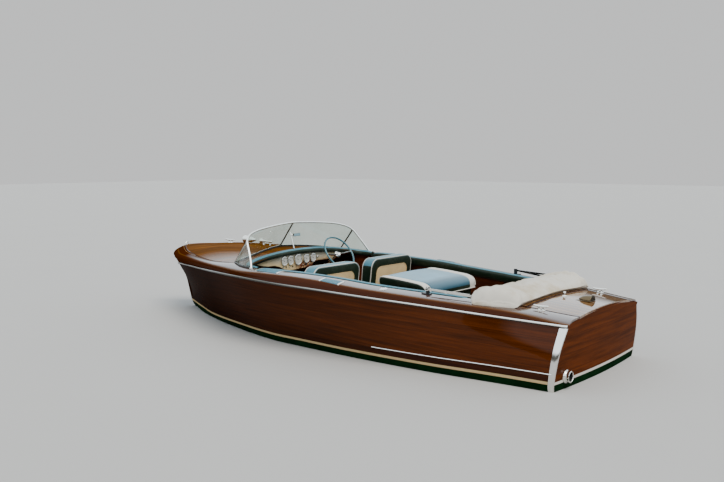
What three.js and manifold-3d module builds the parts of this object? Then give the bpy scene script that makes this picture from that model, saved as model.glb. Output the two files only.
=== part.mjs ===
// A wooden runabout of about 21 feet, afloat: varnished hull, decks and coamings,
// seats, engine box, windshield, folded top, steering, propeller and rudder.
// Millimetres. +X is forward, +Y is port, +Z is up. The origin is on the waterline amidships.
import * as THREE from 'three';
import { mergeVertices } from 'three/addons/utils/BufferGeometryUtils.js';
import Module from 'manifold-3d';

const wasm = await Module();
wasm.setup();

// Driving dimensions
const GAP = 0.3;                 // gap that touching pieces keep
const CENTRE_CLEAR = 0.3;        // half the gap between the covering boards at the stem head
const PLANK = 20;                // hull and deck plank thickness
const BULKHEAD_THICK = 15;
const KEEL_DEPTH = 18;           // keel below the planking
const KEEL_RISE = 60;            // keel above the planking's underside
const STEM_DEPTH = 75;
const STEM_TOP = 566.5;
const STEM_HALF = 20;            // half width of keel and stem
const TRANSOM_THICK = 30;
const TRANSOM_X = -2980;         // transom centre line at the waterline
const TRANSOM_RAKE = 0.065;      // aft lean per unit of height
const TRANSOM_ROUND = 45;        // how far the corners lie ahead of the centre
const TRANSOM_ROUND_AT = 900;
const FLOOR_TOP = 70;
const FLOOR_THICK = 15;
const COCKPIT_FORE = 885;        // cockpit opening, forward end on the centre line
const COCKPIT_SHOULDER = 560;    // where its sides begin to round in
const COCKPIT_POWER = 0.45;      // squareness of the forward end's corners, 1 for an ellipse
const COCKPIT_AFT = -2480;
const FORE_BULKHEAD = 1650;

// Hull lines, each a row of [x, half breadth, height], stern to bow
const KEEL_LINE = [
  [-3000, 0, -160], [-1700, 0, -250], [-750, 0, -310], [200, 0, -345], [1100, 0, -350],
  [1870, 0, -300], [2400, 0, -190], [2700, 0, -85], [2850, 0, -10],
];
const CHINE_LINE = [
  [-3000, 872, -60], [-1700, 965, -65], [-750, 975, -65], [0, 945, -62], [440, 905, -58],
  [1115, 735, -45], [1870, 490, -20], [2400, 270, 5], [2850, 42, 25],
];
const STRIPE_LINE = [
  [-3000, 903, 80], [-2430, 932, 80], [-1700, 996, 80], [-750, 1008, 80], [0, 965, 80], [442, 934, 80],
  [1115, 774, 80], [1870, 543, 80], [2400, 285, 80], [2914, 20.3, 80],
];
const SIDE_LINE = [
  [-3000, 878, 345], [-2430, 935, 352], [-1640, 1036, 362], [-1000, 1090, 370], [-400, 1112, 376],
  [160, 1106, 382], [700, 1040, 386], [1220, 892, 384], [1640, 742, 378], [2100, 540, 368],
  [2520, 322, 354], [2860, 118, 340], [3000, 20.3, 335],
];
const RAIL_LINE = [
  [-3000, 797, 567], [-2430, 897, 598], [-1640, 1033, 638], [-1000, 1138, 668], [-500, 1186, 688],
  [160, 1213, 704], [700, 1155, 713], [1220, 1000, 700], [1640, 830, 681], [2100, 617, 658],
  [2520, 425, 637], [2900, 218, 607], [3168, 20.3, 567],
];
const SHOULDER_LINE = [
  [-3000, 760, 590], [-2430, 882, 629], [-1640, 1021, 670], [-1000, 1127, 700], [-500, 1175, 720],
  [160, 1202, 736], [700, 1147, 745], [1220, 1000, 734], [1640, 842, 720], [2100, 650, 706],
  [2520, 470, 696], [2900, 316, 690], [3000, 246, 690], [3100, 174, 690], [3200, 103, 690],
  [3280, 45, 690], [3334, CENTRE_CLEAR, 690],
];
const EDGE_LINE = [
  [-3000, 575, 628], [-2490, 650, 676], [-2000, 748, 706], [-1600, 820, 727], [-1000, 910, 757],
  [-600, 940, 785], [-200, 962, 800], [200, 1008, 810], [600, 1026, 809], [1000, 945, 822],
  [1600, 745, 786], [1980, 578, 774], [2360, 396, 770], [2690, 250, 784], [2880, 139, 806],
  [3020, CENTRE_CLEAR, 842],
];
const ROUND_RISE = 34;           // rise of the rounded deck corner above the shoulder
const CROWN_LINE = [
  [-3030, 0, 662], [-2600, 0, 694], [-2200, 0, 730], [-1000, 0, 820], [560, 0, 896], [885, 0, 912],
  [1240, 0, 925], [1500, 0, 931], [1900, 0, 930], [2100, 0, 922], [2400, 0, 898], [2730, 0, 875],
  [2930, 0, 856], [3020, 0, 842],
];
const STEM_PROFILE = [
  [2850, -10], [2905, 40], [2934, 85], [2975, 200], [3025, 350], [3095, 484], [3168, 566.5],
];
const LINE_POWER = new Map([[RAIL_LINE, 1.7], [SHOULDER_LINE, 1], [EDGE_LINE, 1.8]]);

// Stations at which every hull panel has a row, as x on the inner deck edge
const STATIONS = [
  -2800, -2480, -2200, -1850, -1500, -1100, -700, -300, 100, 360, 560, 800, 1000, 1300, 1600,
  1850, 2100, 2300, 2480, 2640, 2770, 2870, 2940, 2985, 3008, 3020,
];

// Value of a table's column at x, smooth through its rows
function smooth(table, column, x, power = 1) {
  const value = (row) => Math.pow(Math.max(row[column], 0), power);
  const read = power === 1 ? (row) => row[column] : value;
  const back = (v) => (power === 1 ? v : Math.pow(Math.max(v, 0), 1 / power));
  const last = table.length - 1;
  if (x <= table[0][0]) return table[0][column];
  if (x >= table[last][0]) return table[last][column];
  let i = 0;
  while (table[i + 1][0] < x) i += 1;
  const slope = (k) => {
    const a = table[Math.max(k - 1, 0)];
    const b = table[Math.min(k + 1, last)];
    return (read(b) - read(a)) / (b[0] - a[0]);
  };
  const h = table[i + 1][0] - table[i][0];
  const t = (x - table[i][0]) / h;
  const a = read(table[i]) * (2 * t ** 3 - 3 * t ** 2 + 1) + slope(i) * h * (t ** 3 - 2 * t ** 2 + t);
  const b = read(table[i + 1]) * (3 * t ** 2 - 2 * t ** 3) + slope(i + 1) * h * (t ** 3 - t ** 2);
  return back(a + b);
}

const breadth = (line, x) => smooth(line, 1, x, LINE_POWER.get(line) ?? 1);
const height = (line, x) => smooth(line, 2, x);

// Aft face of the transom
function transomX(y, z) {
  return TRANSOM_X - TRANSOM_RAKE * z + TRANSOM_ROUND * (y / TRANSOM_ROUND_AT) ** 2;
}

// Point on a hull line at the share s of its length, trimmed at the stern by the given inset
function linePoint(line, s, inset) {
  const aft = transomX(line[0][1], line[0][2]) + inset;
  const fore = line.at(-1)[0];
  const x = aft + s * (fore - aft);
  return new THREE.Vector3(x, breadth(line, x), height(line, x));
}

const EDGE_AFT = transomX(EDGE_LINE[0][1], EDGE_LINE[0][2]);
const EDGE_FORE = EDGE_LINE.at(-1)[0];
const SHARES = [0, ...STATIONS.map((x) => (x - EDGE_AFT) / (EDGE_FORE - EDGE_AFT))];
const HULL_SHARES = SHARES.filter((s, i) => i < 20 || i % 2 === 0 || i === SHARES.length - 1);

// Smooth curve through a few points, read at v from 0 to their count less one
function through(points, v) {
  const last = points.length - 1;
  const i = Math.min(Math.floor(v), last - 1);
  const t = v - i;
  const tangent = (k) => {
    const a = points[Math.max(k - 1, 0)];
    const b = points[Math.min(k + 1, last)];
    const span = Math.min(k + 1, last) - Math.max(k - 1, 0);
    return b.clone().sub(a).divideScalar(span);
  };
  return points[i].clone().multiplyScalar(2 * t ** 3 - 3 * t ** 2 + 1)
    .addScaledVector(tangent(i), t ** 3 - 2 * t ** 2 + t)
    .addScaledVector(points[i + 1], 3 * t ** 2 - 2 * t ** 3)
    .addScaledVector(tangent(i + 1), t ** 3 - t ** 2);
}

function quadratic(a, b, c, t) {
  return a.clone().multiplyScalar((1 - t) ** 2).addScaledVector(b, 2 * t * (1 - t)).addScaledVector(c, t * t);
}

// Geometry helpers
function fromTriangles(points, triangles) {
  const geometry = new THREE.BufferGeometry();
  const flat = points.flatMap((p) => [p.x, p.y, p.z]);
  geometry.setAttribute('position', new THREE.Float32BufferAttribute(flat, 3));
  let volume = 0;
  for (const [a, b, c] of triangles) volume += points[a].clone().cross(points[b]).dot(points[c]);
  const faces = volume > 0 ? triangles : triangles.map(([a, b, c]) => [a, c, b]);
  geometry.setIndex(faces.flat());
  return geometry;
}

// Closed slab between an outer and an inner grid of points
function slab(outer, inner) {
  const rows = outer.length;
  const columns = outer[0].length;
  const points = [...outer.flat(), ...inner.flat()];
  const at = (side, r, c) => side * rows * columns + r * columns + c;
  const triangles = [];
  const quad = (a, b, c, d) => triangles.push([a, b, c], [a, c, d]);
  for (let r = 0; r + 1 < rows; r += 1) {
    for (let c = 0; c + 1 < columns; c += 1) {
      quad(at(0, r, c), at(0, r + 1, c), at(0, r + 1, c + 1), at(0, r, c + 1));
      quad(at(1, r, c), at(1, r, c + 1), at(1, r + 1, c + 1), at(1, r + 1, c));
    }
    quad(at(0, r, 0), at(1, r, 0), at(1, r + 1, 0), at(0, r + 1, 0));
    quad(at(0, r, columns - 1), at(0, r + 1, columns - 1), at(1, r + 1, columns - 1), at(1, r, columns - 1));
  }
  for (let c = 0; c + 1 < columns; c += 1) {
    quad(at(0, 0, c), at(0, 0, c + 1), at(1, 0, c + 1), at(1, 0, c));
    quad(at(0, rows - 1, c), at(1, rows - 1, c), at(1, rows - 1, c + 1), at(0, rows - 1, c + 1));
  }
  return fromTriangles(points, triangles);
}

// Closed loft through rings that all have the same number of points
function loft(rings) {
  const count = rings[0].length;
  const points = rings.flat();
  const triangles = [];
  for (let r = 0; r + 1 < rings.length; r += 1) {
    for (let i = 0; i < count; i += 1) {
      const j = (i + 1) % count;
      triangles.push([r * count + i, (r + 1) * count + i, (r + 1) * count + j]);
      triangles.push([r * count + i, (r + 1) * count + j, r * count + j]);
    }
  }
  for (const [start, flip] of [[0, false], [(rings.length - 1) * count, true]]) {
    const centre = new THREE.Vector3();
    for (let i = 0; i < count; i += 1) centre.addScaledVector(points[start + i], 1 / count);
    points.push(centre);
    for (let i = 0; i < count; i += 1) {
      const j = (i + 1) % count;
      const face = [points.length - 1, start + i, start + j];
      triangles.push(flip ? face.reverse() : face);
    }
  }
  return fromTriangles(points, triangles);
}

// Sweep of a section of [out, up] points along a path, or of one section for each of its points
function sweep(path, section, up = new THREE.Vector3(0, 0, 1)) {
  const rings = path.map((p, i) => {
    const a = path[Math.max(i - 1, 0)];
    const b = path[Math.min(i + 1, path.length - 1)];
    const along = b.clone().sub(a).normalize();
    const out = along.clone().cross(up).normalize();
    const top = out.clone().cross(along).normalize();
    const at = typeof section === 'function' ? section(i) : section;
    return at.map(([u, v]) => p.clone().addScaledVector(out, u).addScaledVector(top, v));
  });
  return loft(rings);
}

function circle(radius, sides = 8, squash = 1) {
  return Array.from({ length: sides }, (_, i) => {
    const angle = ((i + 0.5) * 2 * Math.PI) / sides;
    return [radius * Math.cos(angle), radius * squash * Math.sin(angle)];
  });
}

const rod = (path, radius, sides = 8, up) => sweep(path, circle(radius, sides), up);

function moved(geometry, x, y, z) {
  return geometry.clone().translate(x, y, z);
}

function box(x0, x1, y0, y1, z0, z1) {
  const size = [Math.abs(x1 - x0), Math.abs(y1 - y0), Math.abs(z1 - z0)];
  return moved(new THREE.BoxGeometry(...size), (x0 + x1) / 2, (y0 + y1) / 2, (z0 + z1) / 2);
}

// Extrusion across the boat of a side outline given as [x, z]
function acrossBoat(outline, y0, y1) {
  const shape = new THREE.Shape(outline.map(([x, z]) => new THREE.Vector2(x, z)));
  const geometry = new THREE.ExtrudeGeometry(shape, { depth: y1 - y0, bevelEnabled: false });
  return geometry.rotateX(Math.PI / 2).translate(0, y1, 0);
}

// Extrusion upward of a plan outline given as [x, y]
function upward(outline, z0, z1, holes = []) {
  const toShape = (list) => list.map(([x, y]) => new THREE.Vector2(x, y));
  const shape = new THREE.Shape(toShape(outline));
  for (const hole of holes) shape.holes.push(new THREE.Path(toShape(hole)));
  return new THREE.ExtrudeGeometry(shape, { depth: z1 - z0, bevelEnabled: false }).translate(0, 0, z0);
}

// Extrusion along the boat of a section outline given as [y, z]
function alongBoat(outline, x0, x1) {
  const shape = new THREE.Shape(outline.map(([y, z]) => new THREE.Vector2(y, z)));
  const geometry = new THREE.ExtrudeGeometry(shape, { depth: x1 - x0, bevelEnabled: false });
  geometry.applyMatrix4(new THREE.Matrix4().set(0, 0, 1, 0, 1, 0, 0, 0, 0, 1, 0, 0, 0, 0, 0, 1));
  return geometry.translate(x0, 0, 0);
}

function toSolid(geometry) {
  const bare = geometry.clone();
  for (const name of ['normal', 'uv']) bare.deleteAttribute(name);
  const merged = mergeVertices(bare, 1e-3);
  const mesh = new wasm.Mesh({
    numProp: 3,
    vertProperties: new Float32Array(merged.attributes.position.array),
    triVerts: new Uint32Array(merged.index.array),
  });
  mesh.merge();
  return new wasm.Manifold(mesh);
}

function fromSolid(solid) {
  const mesh = solid.getMesh();
  const geometry = new THREE.BufferGeometry();
  geometry.setAttribute('position', new THREE.Float32BufferAttribute(mesh.vertProperties, 3));
  geometry.setIndex(Array.from(mesh.triVerts));
  return geometry;
}

function joined(geometries) {
  return fromSolid(geometries.map(toSolid).reduce((sum, next) => sum.add(next)));
}

function cut(geometry, ...tools) {
  return fromSolid(tools.map(toSolid).reduce((rest, tool) => rest.subtract(tool), toSolid(geometry)));
}

// The largest body of a geometry, without the crumbs and slivers that a cut leaves
const SLIVER = 0.02;
function largest(geometry) {
  const bodies = toSolid(geometry).decompose().sort((a, b) => b.volume() - a.volume());
  return fromSolid(bodies[0].simplify(SLIVER));
}

// A piece trimmed to sit clear of its neighbours, which are swept a little way by the shift
function fitted(geometry, neighbours, [dx, dy, dz]) {
  return cut(geometry, ...neighbours.flatMap((n) => [n, moved(n, dx, dy, dz)]));
}

// The same piece on the other side of the centre line
function mirrored(geometry) {
  const copy = geometry.index ? geometry.clone() : mergeVertices(geometry.clone());
  copy.scale(1, -1, 1);
  const index = Array.from(copy.index.array);
  for (let i = 0; i < index.length; i += 3) [index[i], index[i + 1]] = [index[i + 1], index[i]];
  copy.setIndex(index);
  return copy;
}

// Finishes
const finish = (color, roughness, metalness = 0) => (
  new THREE.MeshStandardMaterial({ color, roughness, metalness }));
const FINISH = {
  topside: finish(0x5a2410, 0.25),
  transom: finish(0x74330f, 0.25),
  covering: finish(0x5f2a12, 0.25),
  deck: finish(0x9a6a35, 0.25),
  bottom: finish(0x12301c, 0.5),
  stripe: finish(0xcdb07d, 0.4),
  chrome: finish(0xd8d6d0, 0.15, 1),
  lining: finish(0x4a1d0d, 0.4),
  floor: finish(0x5c4630, 0.7),
  green: finish(0x1b3022, 0.55),
  blue: finish(0x6d9db0, 0.55),
  tan: finish(0xc2a880, 0.6),
  canvas: finish(0xe0dccf, 0.9),
  dial: finish(0xc9c7bb, 0.35),
  rim: finish(0x3f7078, 0.4),
  glass: finish(0x9fb4ae, 0.05),
  bronze: finish(0x9a7440, 0.35, 1),
  iron: finish(0x5b6066, 0.6, 0.6),
  bar: finish(0x26262a, 0.4, 0.6),
};

const boat = new THREE.Group();
function add(name, geometry, material) {
  const mesh = new THREE.Mesh(geometry, material);
  mesh.name = name;
  boat.add(mesh);
}
function addPair(name, portGeometry, material) {
  add(`${name}_port`, portGeometry, material);
  add(`${name}_starboard`, mirrored(portGeometry), material);
}

// Hull panels: grids of outer points, one row for each share of the length
function gridNormals(grid) {
  return grid.map((row, r) => row.map((_, c) => {
    const a = grid[Math.min(r + 1, grid.length - 1)][c].clone().sub(grid[Math.max(r - 1, 0)][c]);
    const b = row[Math.min(c + 1, row.length - 1)].clone().sub(row[Math.max(c - 1, 0)]);
    return a.cross(b).normalize();
  }));
}

const TOPSIDE_COLUMNS = [0, 0.5, 1, 1.5, 2, 2.5, 3];
const END_INSET = TRANSOM_THICK + GAP * 3;

function topsidePoint(s, v, inset = END_INSET) {
  const lower = linePoint(CHINE_LINE, s, inset);
  lower.z += PLANK + GAP;
  const lines = [lower, ...[STRIPE_LINE, SIDE_LINE, RAIL_LINE].map((line) => linePoint(line, s, inset))];
  return through(lines, v);
}

function topside() {
  const outer = HULL_SHARES.map((s) => TOPSIDE_COLUMNS.map((v) => topsidePoint(s, v)));
  const normals = gridNormals(outer);
  const inner = outer.map((row, r) => row.map((p, c) => {
    if (r === outer.length - 1) return new THREE.Vector3(p.x - PLANK * 1.5, p.y, p.z);
    const n = normals[r][c].setZ(0).normalize();
    const q = p.clone().addScaledVector(n, -PLANK * Math.sign(n.y));
    if (r === 0) q.x = p.x;
    return q;
  }));
  return slab(outer, inner);
}

function bottomPoint(s, v) {
  const chine = linePoint(CHINE_LINE, s, END_INSET * 1.1);
  const keel = linePoint(KEEL_LINE, s, END_INSET * 1.1);
  keel.y = STEM_HALF / 2;
  return keel.lerp(chine, v);
}

function bottom() {
  const outer = HULL_SHARES.map((s) => [0, 0.5, 1].map((v) => bottomPoint(s, v)));
  const inner = outer.map((row) => row.map((p) => p.clone().setZ(p.z + PLANK)));
  return slab(outer, inner);
}

function coveringPoint(s, v) {
  const rail = linePoint(RAIL_LINE, s, 0);
  if (s === 1) rail.set(STEM_PROFILE.at(-1)[0], CENTRE_CLEAR, rail.z);
  rail.z += GAP * 2;
  const shoulder = linePoint(SHOULDER_LINE, s, 0);
  const edge = linePoint(EDGE_LINE, s, 0);
  const corner = shoulder.clone();
  corner.z = Math.min(shoulder.z + ROUND_RISE * 2, edge.z);
  if (v <= 1) return rail.lerp(shoulder, v);
  return quadratic(shoulder, corner, edge, v - 1);
}

const COVERING_COLUMNS = [0, 1, 1.25, 1.5, 1.75, 2];

function coveringBoard() {
  const outer = SHARES.map((s) => COVERING_COLUMNS.map((v) => coveringPoint(s, v)));
  const normals = gridNormals(outer);
  const last = COVERING_COLUMNS.length - 1;
  const inner = outer.map((row, r) => row.map((p, c) => {
    const n = normals[r][c];
    if (n.z < 0 && c > 0) n.negate();
    if (c === 0) n.setZ(0).multiplyScalar(Math.sign(n.y) || 1);
    if (c === last) n.set(0, 0, 1);
    if (r === 0) n.x = 0;
    if (r === outer.length - 1) {
      n.y = 0;
      if (c === 0) n.set(1, 0, 0);
    }
    n.normalize();
    const q = p.clone().addScaledVector(n, -PLANK);
    return q.setY(Math.max(q.y, CENTRE_CLEAR));
  }));
  return slab(outer, inner);
}

// Height of the deck's top at a place, on the crowned deck or on the covering board beside it
function deckHeight(x, y) {
  const edgeY = breadth(EDGE_LINE, x);
  const edgeZ = height(EDGE_LINE, x);
  const side = Math.abs(y);
  if (side <= edgeY) return edgeZ + (height(CROWN_LINE, x) - edgeZ) * (1 - (side / edgeY) ** 2);
  let share = (x - EDGE_AFT) / (EDGE_FORE - EDGE_AFT);
  let at = edgeZ;
  for (let pass = 0; pass < 6; pass += 1) {
    let low = 1;
    let high = 2;
    for (let i = 0; i < 30; i += 1) {
      const middle = (low + high) / 2;
      if (coveringPoint(share, middle).y > side) low = middle;
      else high = middle;
    }
    const found = coveringPoint(share, high);
    at = found.z;
    share = Math.min(Math.max(share + (x - found.x) / (EDGE_FORE - EDGE_AFT), 0), 1);
  }
  return at;
}

const DECK_COLUMNS = [-1, -0.75, -0.5, -0.25, 0, 0.25, 0.5, 0.75, 1];

function deckPanel(shares) {
  const outer = shares.map((s) => {
    const edge = linePoint(EDGE_LINE, s, 0);
    return DECK_COLUMNS.map((f) => {
      const y = f * (edge.y - GAP);
      const z = edge.z + (height(CROWN_LINE, edge.x) - edge.z) * (1 - f * f);
      const x = s === 0 ? transomX(y, z) : edge.x;
      return new THREE.Vector3(x, y, z);
    });
  });
  const inner = outer.map((row) => row.map((p) => p.clone().setZ(p.z - PLANK)));
  return slab(outer, inner);
}

// Plan outline of the cockpit's rounded forward end, port side to starboard side
function cockpitFront() {
  const half = breadth(EDGE_LINE, COCKPIT_SHOULDER);
  const depth = COCKPIT_FORE - COCKPIT_SHOULDER;
  const points = [];
  const count = 14;
  for (let i = 0; i <= count; i += 1) {
    const angle = (Math.PI * i) / count;
    const y = Math.sign(Math.cos(angle)) * half * Math.abs(Math.cos(angle)) ** COCKPIT_POWER;
    const x = COCKPIT_SHOULDER + depth * Math.sin(angle) ** COCKPIT_POWER;
    points.push([x, y]);
  }
  return points;
}

const isForward = (s) => EDGE_AFT + s * (EDGE_FORE - EDGE_AFT) > COCKPIT_SHOULDER - 1;
const isAft = (s) => EDGE_AFT + s * (EDGE_FORE - EDGE_AFT) < COCKPIT_AFT + 1;

function foredeck() {
  const shares = SHARES.filter(isForward).filter((s) => linePoint(EDGE_LINE, s, 0).y > 18);
  const opening = [...cockpitFront(), [COCKPIT_SHOULDER - 50, -1100], [COCKPIT_SHOULDER - 50, 1100]];
  return cut(deckPanel(shares), upward(opening, 0, 1200));
}

const BOARD_PORT = coveringBoard();
const BOARDS = [BOARD_PORT, mirrored(BOARD_PORT)];
const FOREDECK = foredeck();
const AFT_DECK = deckPanel(SHARES.filter(isAft));
const STEM_SIDE = box(2000, 3400, -300, STEM_HALF + GAP, -500, 700);
const TOPSIDE_PORT = cut(topside(), STEM_SIDE);
const TOPSIDES = [TOPSIDE_PORT, mirrored(TOPSIDE_PORT)];
addPair('topside', TOPSIDE_PORT, FINISH.topside);
addPair('covering_board', BOARD_PORT, FINISH.covering);
add('foredeck', FOREDECK, FINISH.deck);
add('aft_deck', AFT_DECK, FINISH.deck);

// Transom: one thick curved panel that closes the after end, as level rows from side to side
const TRANSOM_COLUMNS = 12;

function transomRow(y, level, inset) {
  return Array.from({ length: TRANSOM_COLUMNS + 1 }, (_, c) => {
    const side = (2 * c) / TRANSOM_COLUMNS - 1;
    const z = level(side);
    return new THREE.Vector3(transomX(y * side, z) + inset, y * side, z);
  });
}

function transomFace(inset) {
  const [, edgeY, edgeZ] = EDGE_LINE[0];
  const crown = height(CROWN_LINE, EDGE_AFT) - edgeZ;
  const rows = [transomRow(STEM_HALF, () => KEEL_LINE[0][2], inset)];
  for (const v of [0, 0.5, 1, 1.5, 2, 2.5, 3]) {
    const side = topsidePoint(0, v);
    rows.push(transomRow(side.y, () => (v === 0 ? CHINE_LINE[0][2] : side.z), inset));
  }
  rows.push(transomRow(SHOULDER_LINE[0][1] - PLANK / 2, () => RAIL_LINE[0][2] + 20, inset));
  rows.push(transomRow(edgeY - 1, (f) => edgeZ + crown * (1 - f * f) - PLANK / 2, inset));
  return rows;
}
const TRANSOM_RAW = slab(transomFace(0), transomFace(TRANSOM_THICK));
const TRANSOM = fitted(TRANSOM_RAW, [...BOARDS, AFT_DECK], [0, 0, -GAP * 2]);
add('transom', TRANSOM, FINISH.transom);

// Keel and stem: one timber of constant width, with a raised seat for the engine
function keelProfile() {
  const stations = [-2940, -2400, -1700, -1000, -300, 400, 1100, 1600, 2000, 2400, 2700];
  const lower = stations.map((x) => [x, height(KEEL_LINE, x) - KEEL_DEPTH]);
  const upper = stations.slice(0, -2).reverse().map((x) => [x, height(KEEL_LINE, x) + KEEL_RISE]);
  const inside = STEM_PROFILE.slice(2).reverse().map(([x, z]) => [x - STEM_DEPTH, Math.min(z + 5, STEM_TOP)]);
  return [...lower, ...STEM_PROFILE, ...inside, ...upper];
}
const ENGINE_SEAT = { x0: -1350, x1: -600, top: -150 };
const RUDDER_X = -2700;
const RUDDER_BOSS = { radius: 30, bottom: -212, length: 40 };

const SHAFT = { x0: -1500, x1: -2530, z0: -290, z1: -408, radius: 13, clear: 0.6 };
const SHAFT_LOG = { radius: 27, fore: -1440, aft: -1660 };
const SHAFT_DIR = new THREE.Vector3(SHAFT.x1 - SHAFT.x0, 0, SHAFT.z1 - SHAFT.z0).normalize();
const shaftZ = (x) => SHAFT.z0 + ((x - SHAFT.x0) * (SHAFT.z1 - SHAFT.z0)) / (SHAFT.x1 - SHAFT.x0);
function alongShaft(geometry, x) {
  const turn = new THREE.Quaternion().setFromUnitVectors(new THREE.Vector3(0, 0, 1), SHAFT_DIR);
  return geometry.applyQuaternion(turn).translate(x, 0, shaftZ(x));
}

// Bored boss on the keel that the propeller shaft comes out of
function shaftLog() {
  const fore = upright(SHAFT_LOG.radius, SHAFT_LOG.radius, 0, SHAFT_LOG.fore - SHAFT_LOG.aft, 16);
  return alongShaft(fore, SHAFT_LOG.fore);
}
function shaftBore() {
  const radius = SHAFT.radius + SHAFT.clear;
  return alongShaft(upright(radius, radius, -4, 400, 16), SHAFT.x0);
}

function hullBottom() {
  const seatBottom = height(KEEL_LINE, ENGINE_SEAT.x0) + KEEL_RISE / 2;
  const { radius, length } = RUDDER_BOSS;
  const boss = new THREE.CylinderGeometry(radius, radius, length, 12).rotateX(Math.PI / 2);
  const whole = joined([
    shaftLog(),
    acrossBoat(keelProfile(), -STEM_HALF, STEM_HALF),
    box(ENGINE_SEAT.x0, ENGINE_SEAT.x1, -STEM_HALF, STEM_HALF, seatBottom, ENGINE_SEAT.top),
    moved(boss, RUDDER_X, 0, RUDDER_BOSS.bottom + length / 2),
    bottom(),
    mirrored(bottom()),
  ]);
  return cut(whole, shaftBore());
}
const BOTTOM = fitted(hullBottom(), [TRANSOM], [GAP, 0, 0]);
add('hull_bottom', BOTTOM, FINISH.bottom);

// A raw panel trimmed to the inside of the hull
function inHull(geometry) {
  const shifts = [
    [TOPSIDES[0], [0, -GAP, 0]], [TOPSIDES[1], [0, GAP, 0]], [BOTTOM, [0, 0, GAP]],
    [BOARDS[0], [0, 0, -GAP]], [BOARDS[1], [0, 0, -GAP]],
    [FOREDECK, [0, 0, -GAP]], [AFT_DECK, [0, 0, -GAP]],
  ];
  return shifts.reduce((rest, [tool, shift]) => fitted(rest, [tool], shift), geometry);
}

// Half breadth and height on the topside at x, part way up
function sideAt(x, v) {
  let low = 0;
  let high = 1;
  for (let i = 0; i < 30; i += 1) {
    const middle = (low + high) / 2;
    if (topsidePoint(middle, v).x < x) low = middle;
    else high = middle;
  }
  return topsidePoint(low, v);
}

function bulkhead(x) {
  const middle = PLANK / 2;
  const half = [0, 0.5, 1, 1.5, 2, 2.5, 3].map((v) => sideAt(x, v)).map((p) => [p.y - middle, p.z]);
  const edge = [breadth(EDGE_LINE, x), height(EDGE_LINE, x) - middle];
  const low = [[0, height(KEEL_LINE, x) + middle], [half[0][0], half[0][1] - PLANK]];
  const top = [[(half.at(-1)[0] + edge[0]) / 2, (half.at(-1)[1] + edge[1]) / 2], edge];
  const crown = [0.7, 0.35].map((f) => [f * edge[0], deckHeight(x, f * edge[0]) - middle]);
  const port = [...low, ...half, ...top, ...crown, [0, deckHeight(x, 0) - middle]];
  const starboard = port.slice(1, -1).reverse().map(([y, z]) => [-y, z]);
  return inHull(alongBoat([...port, ...starboard], x, x + BULKHEAD_THICK));
}
const FORE_WALL = bulkhead(FORE_BULKHEAD);
const AFT_WALL = bulkhead(COCKPIT_AFT - BULKHEAD_THICK - 10);
add('forward_bulkhead', FORE_WALL, FINISH.lining);
add('aft_bulkhead', AFT_WALL, FINISH.lining);

// Floor, open round the engine
const ENGINE_BOX = { x0: -1270, x1: -730, half: 455, wall: 18, top: 655 };
const FLOOR_STATIONS = [-2489, -2100, -1700, -1100, -500, 0, 500, 900, 1300, 1649];
function floor() {
  const level = (x) => sideAt(x, 0.9).y - PLANK / 2;
  const port = FLOOR_STATIONS.map((x) => [x, level(x)]);
  const outline = [...port, ...port.map(([x, y]) => [x, -y]).reverse()];
  const { x0, x1, half, wall } = ENGINE_BOX;
  const side = half - wall;
  const opening = [[x0 + wall, -side], [x1 - wall, -side], [x1 - wall, side], [x0 + wall, side]];
  const panel = inHull(upward(outline, FLOOR_TOP - FLOOR_THICK, FLOOR_TOP, [opening]));
  return fitted(fitted(panel, [AFT_WALL], [GAP, 0, 0]), [FORE_WALL], [-GAP, 0, 0]);
}
add('cockpit_floor', floor(), FINISH.floor);

// Cockpit side linings, hung from the inner deck edge to the floor and kept inside the hull's side
const LINING_THICK = 10;
const LINING_CLEAR = 28;
const COCKPIT_STATIONS = [-2465, -2200, -1850, -1500, -1100, -700, -300, 100, 560, 720, 870];
function lining() {
  const outer = COCKPIT_STATIONS.map((x) => {
    const edge = breadth(EDGE_LINE, x) + LINING_THICK;
    const top = new THREE.Vector3(x, edge, height(EDGE_LINE, x) - PLANK / 2);
    const sides = [0.95, 1.25, 1.5, 1.75, 2].map((v) => sideAt(x, v)).map((p) => (
      new THREE.Vector3(x, Math.min(edge, p.y - LINING_CLEAR), Math.max(p.z, FLOOR_TOP + GAP))));
    return [...sides, top];
  });
  const inner = outer.map((row) => row.map((p) => p.clone().setY(p.y - LINING_THICK + 0.5)));
  return fitted(slab(outer, inner), [BOARD_PORT, FOREDECK], [0, 0, -GAP]);
}

// Padded rolls on the cockpit's edge: a low top on the deck and a deep side inside the opening
const COAMING_SECTION = [
  [16, -2], [12, 8], [-4, 16], [-26, 12], [-44, -6], [-50, -36], [-44, -76], [-26, -96], [-8, -98],
  [-2, -92], [-2, -2],
];
const DASH_SECTION = [
  [12, -2], [9, 10], [-6, 18], [-30, 12], [-44, -8], [-46, -32], [-34, -48], [-12, -50], [-2, -46], [-2, -2],
];
const PAD_LIFT = 2.4;
const PAD_ENDS = [-2010, 553];
function padAlong(path, section) {
  return sweep(path, section.map(([out, up]) => [-out, up]));
}

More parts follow.
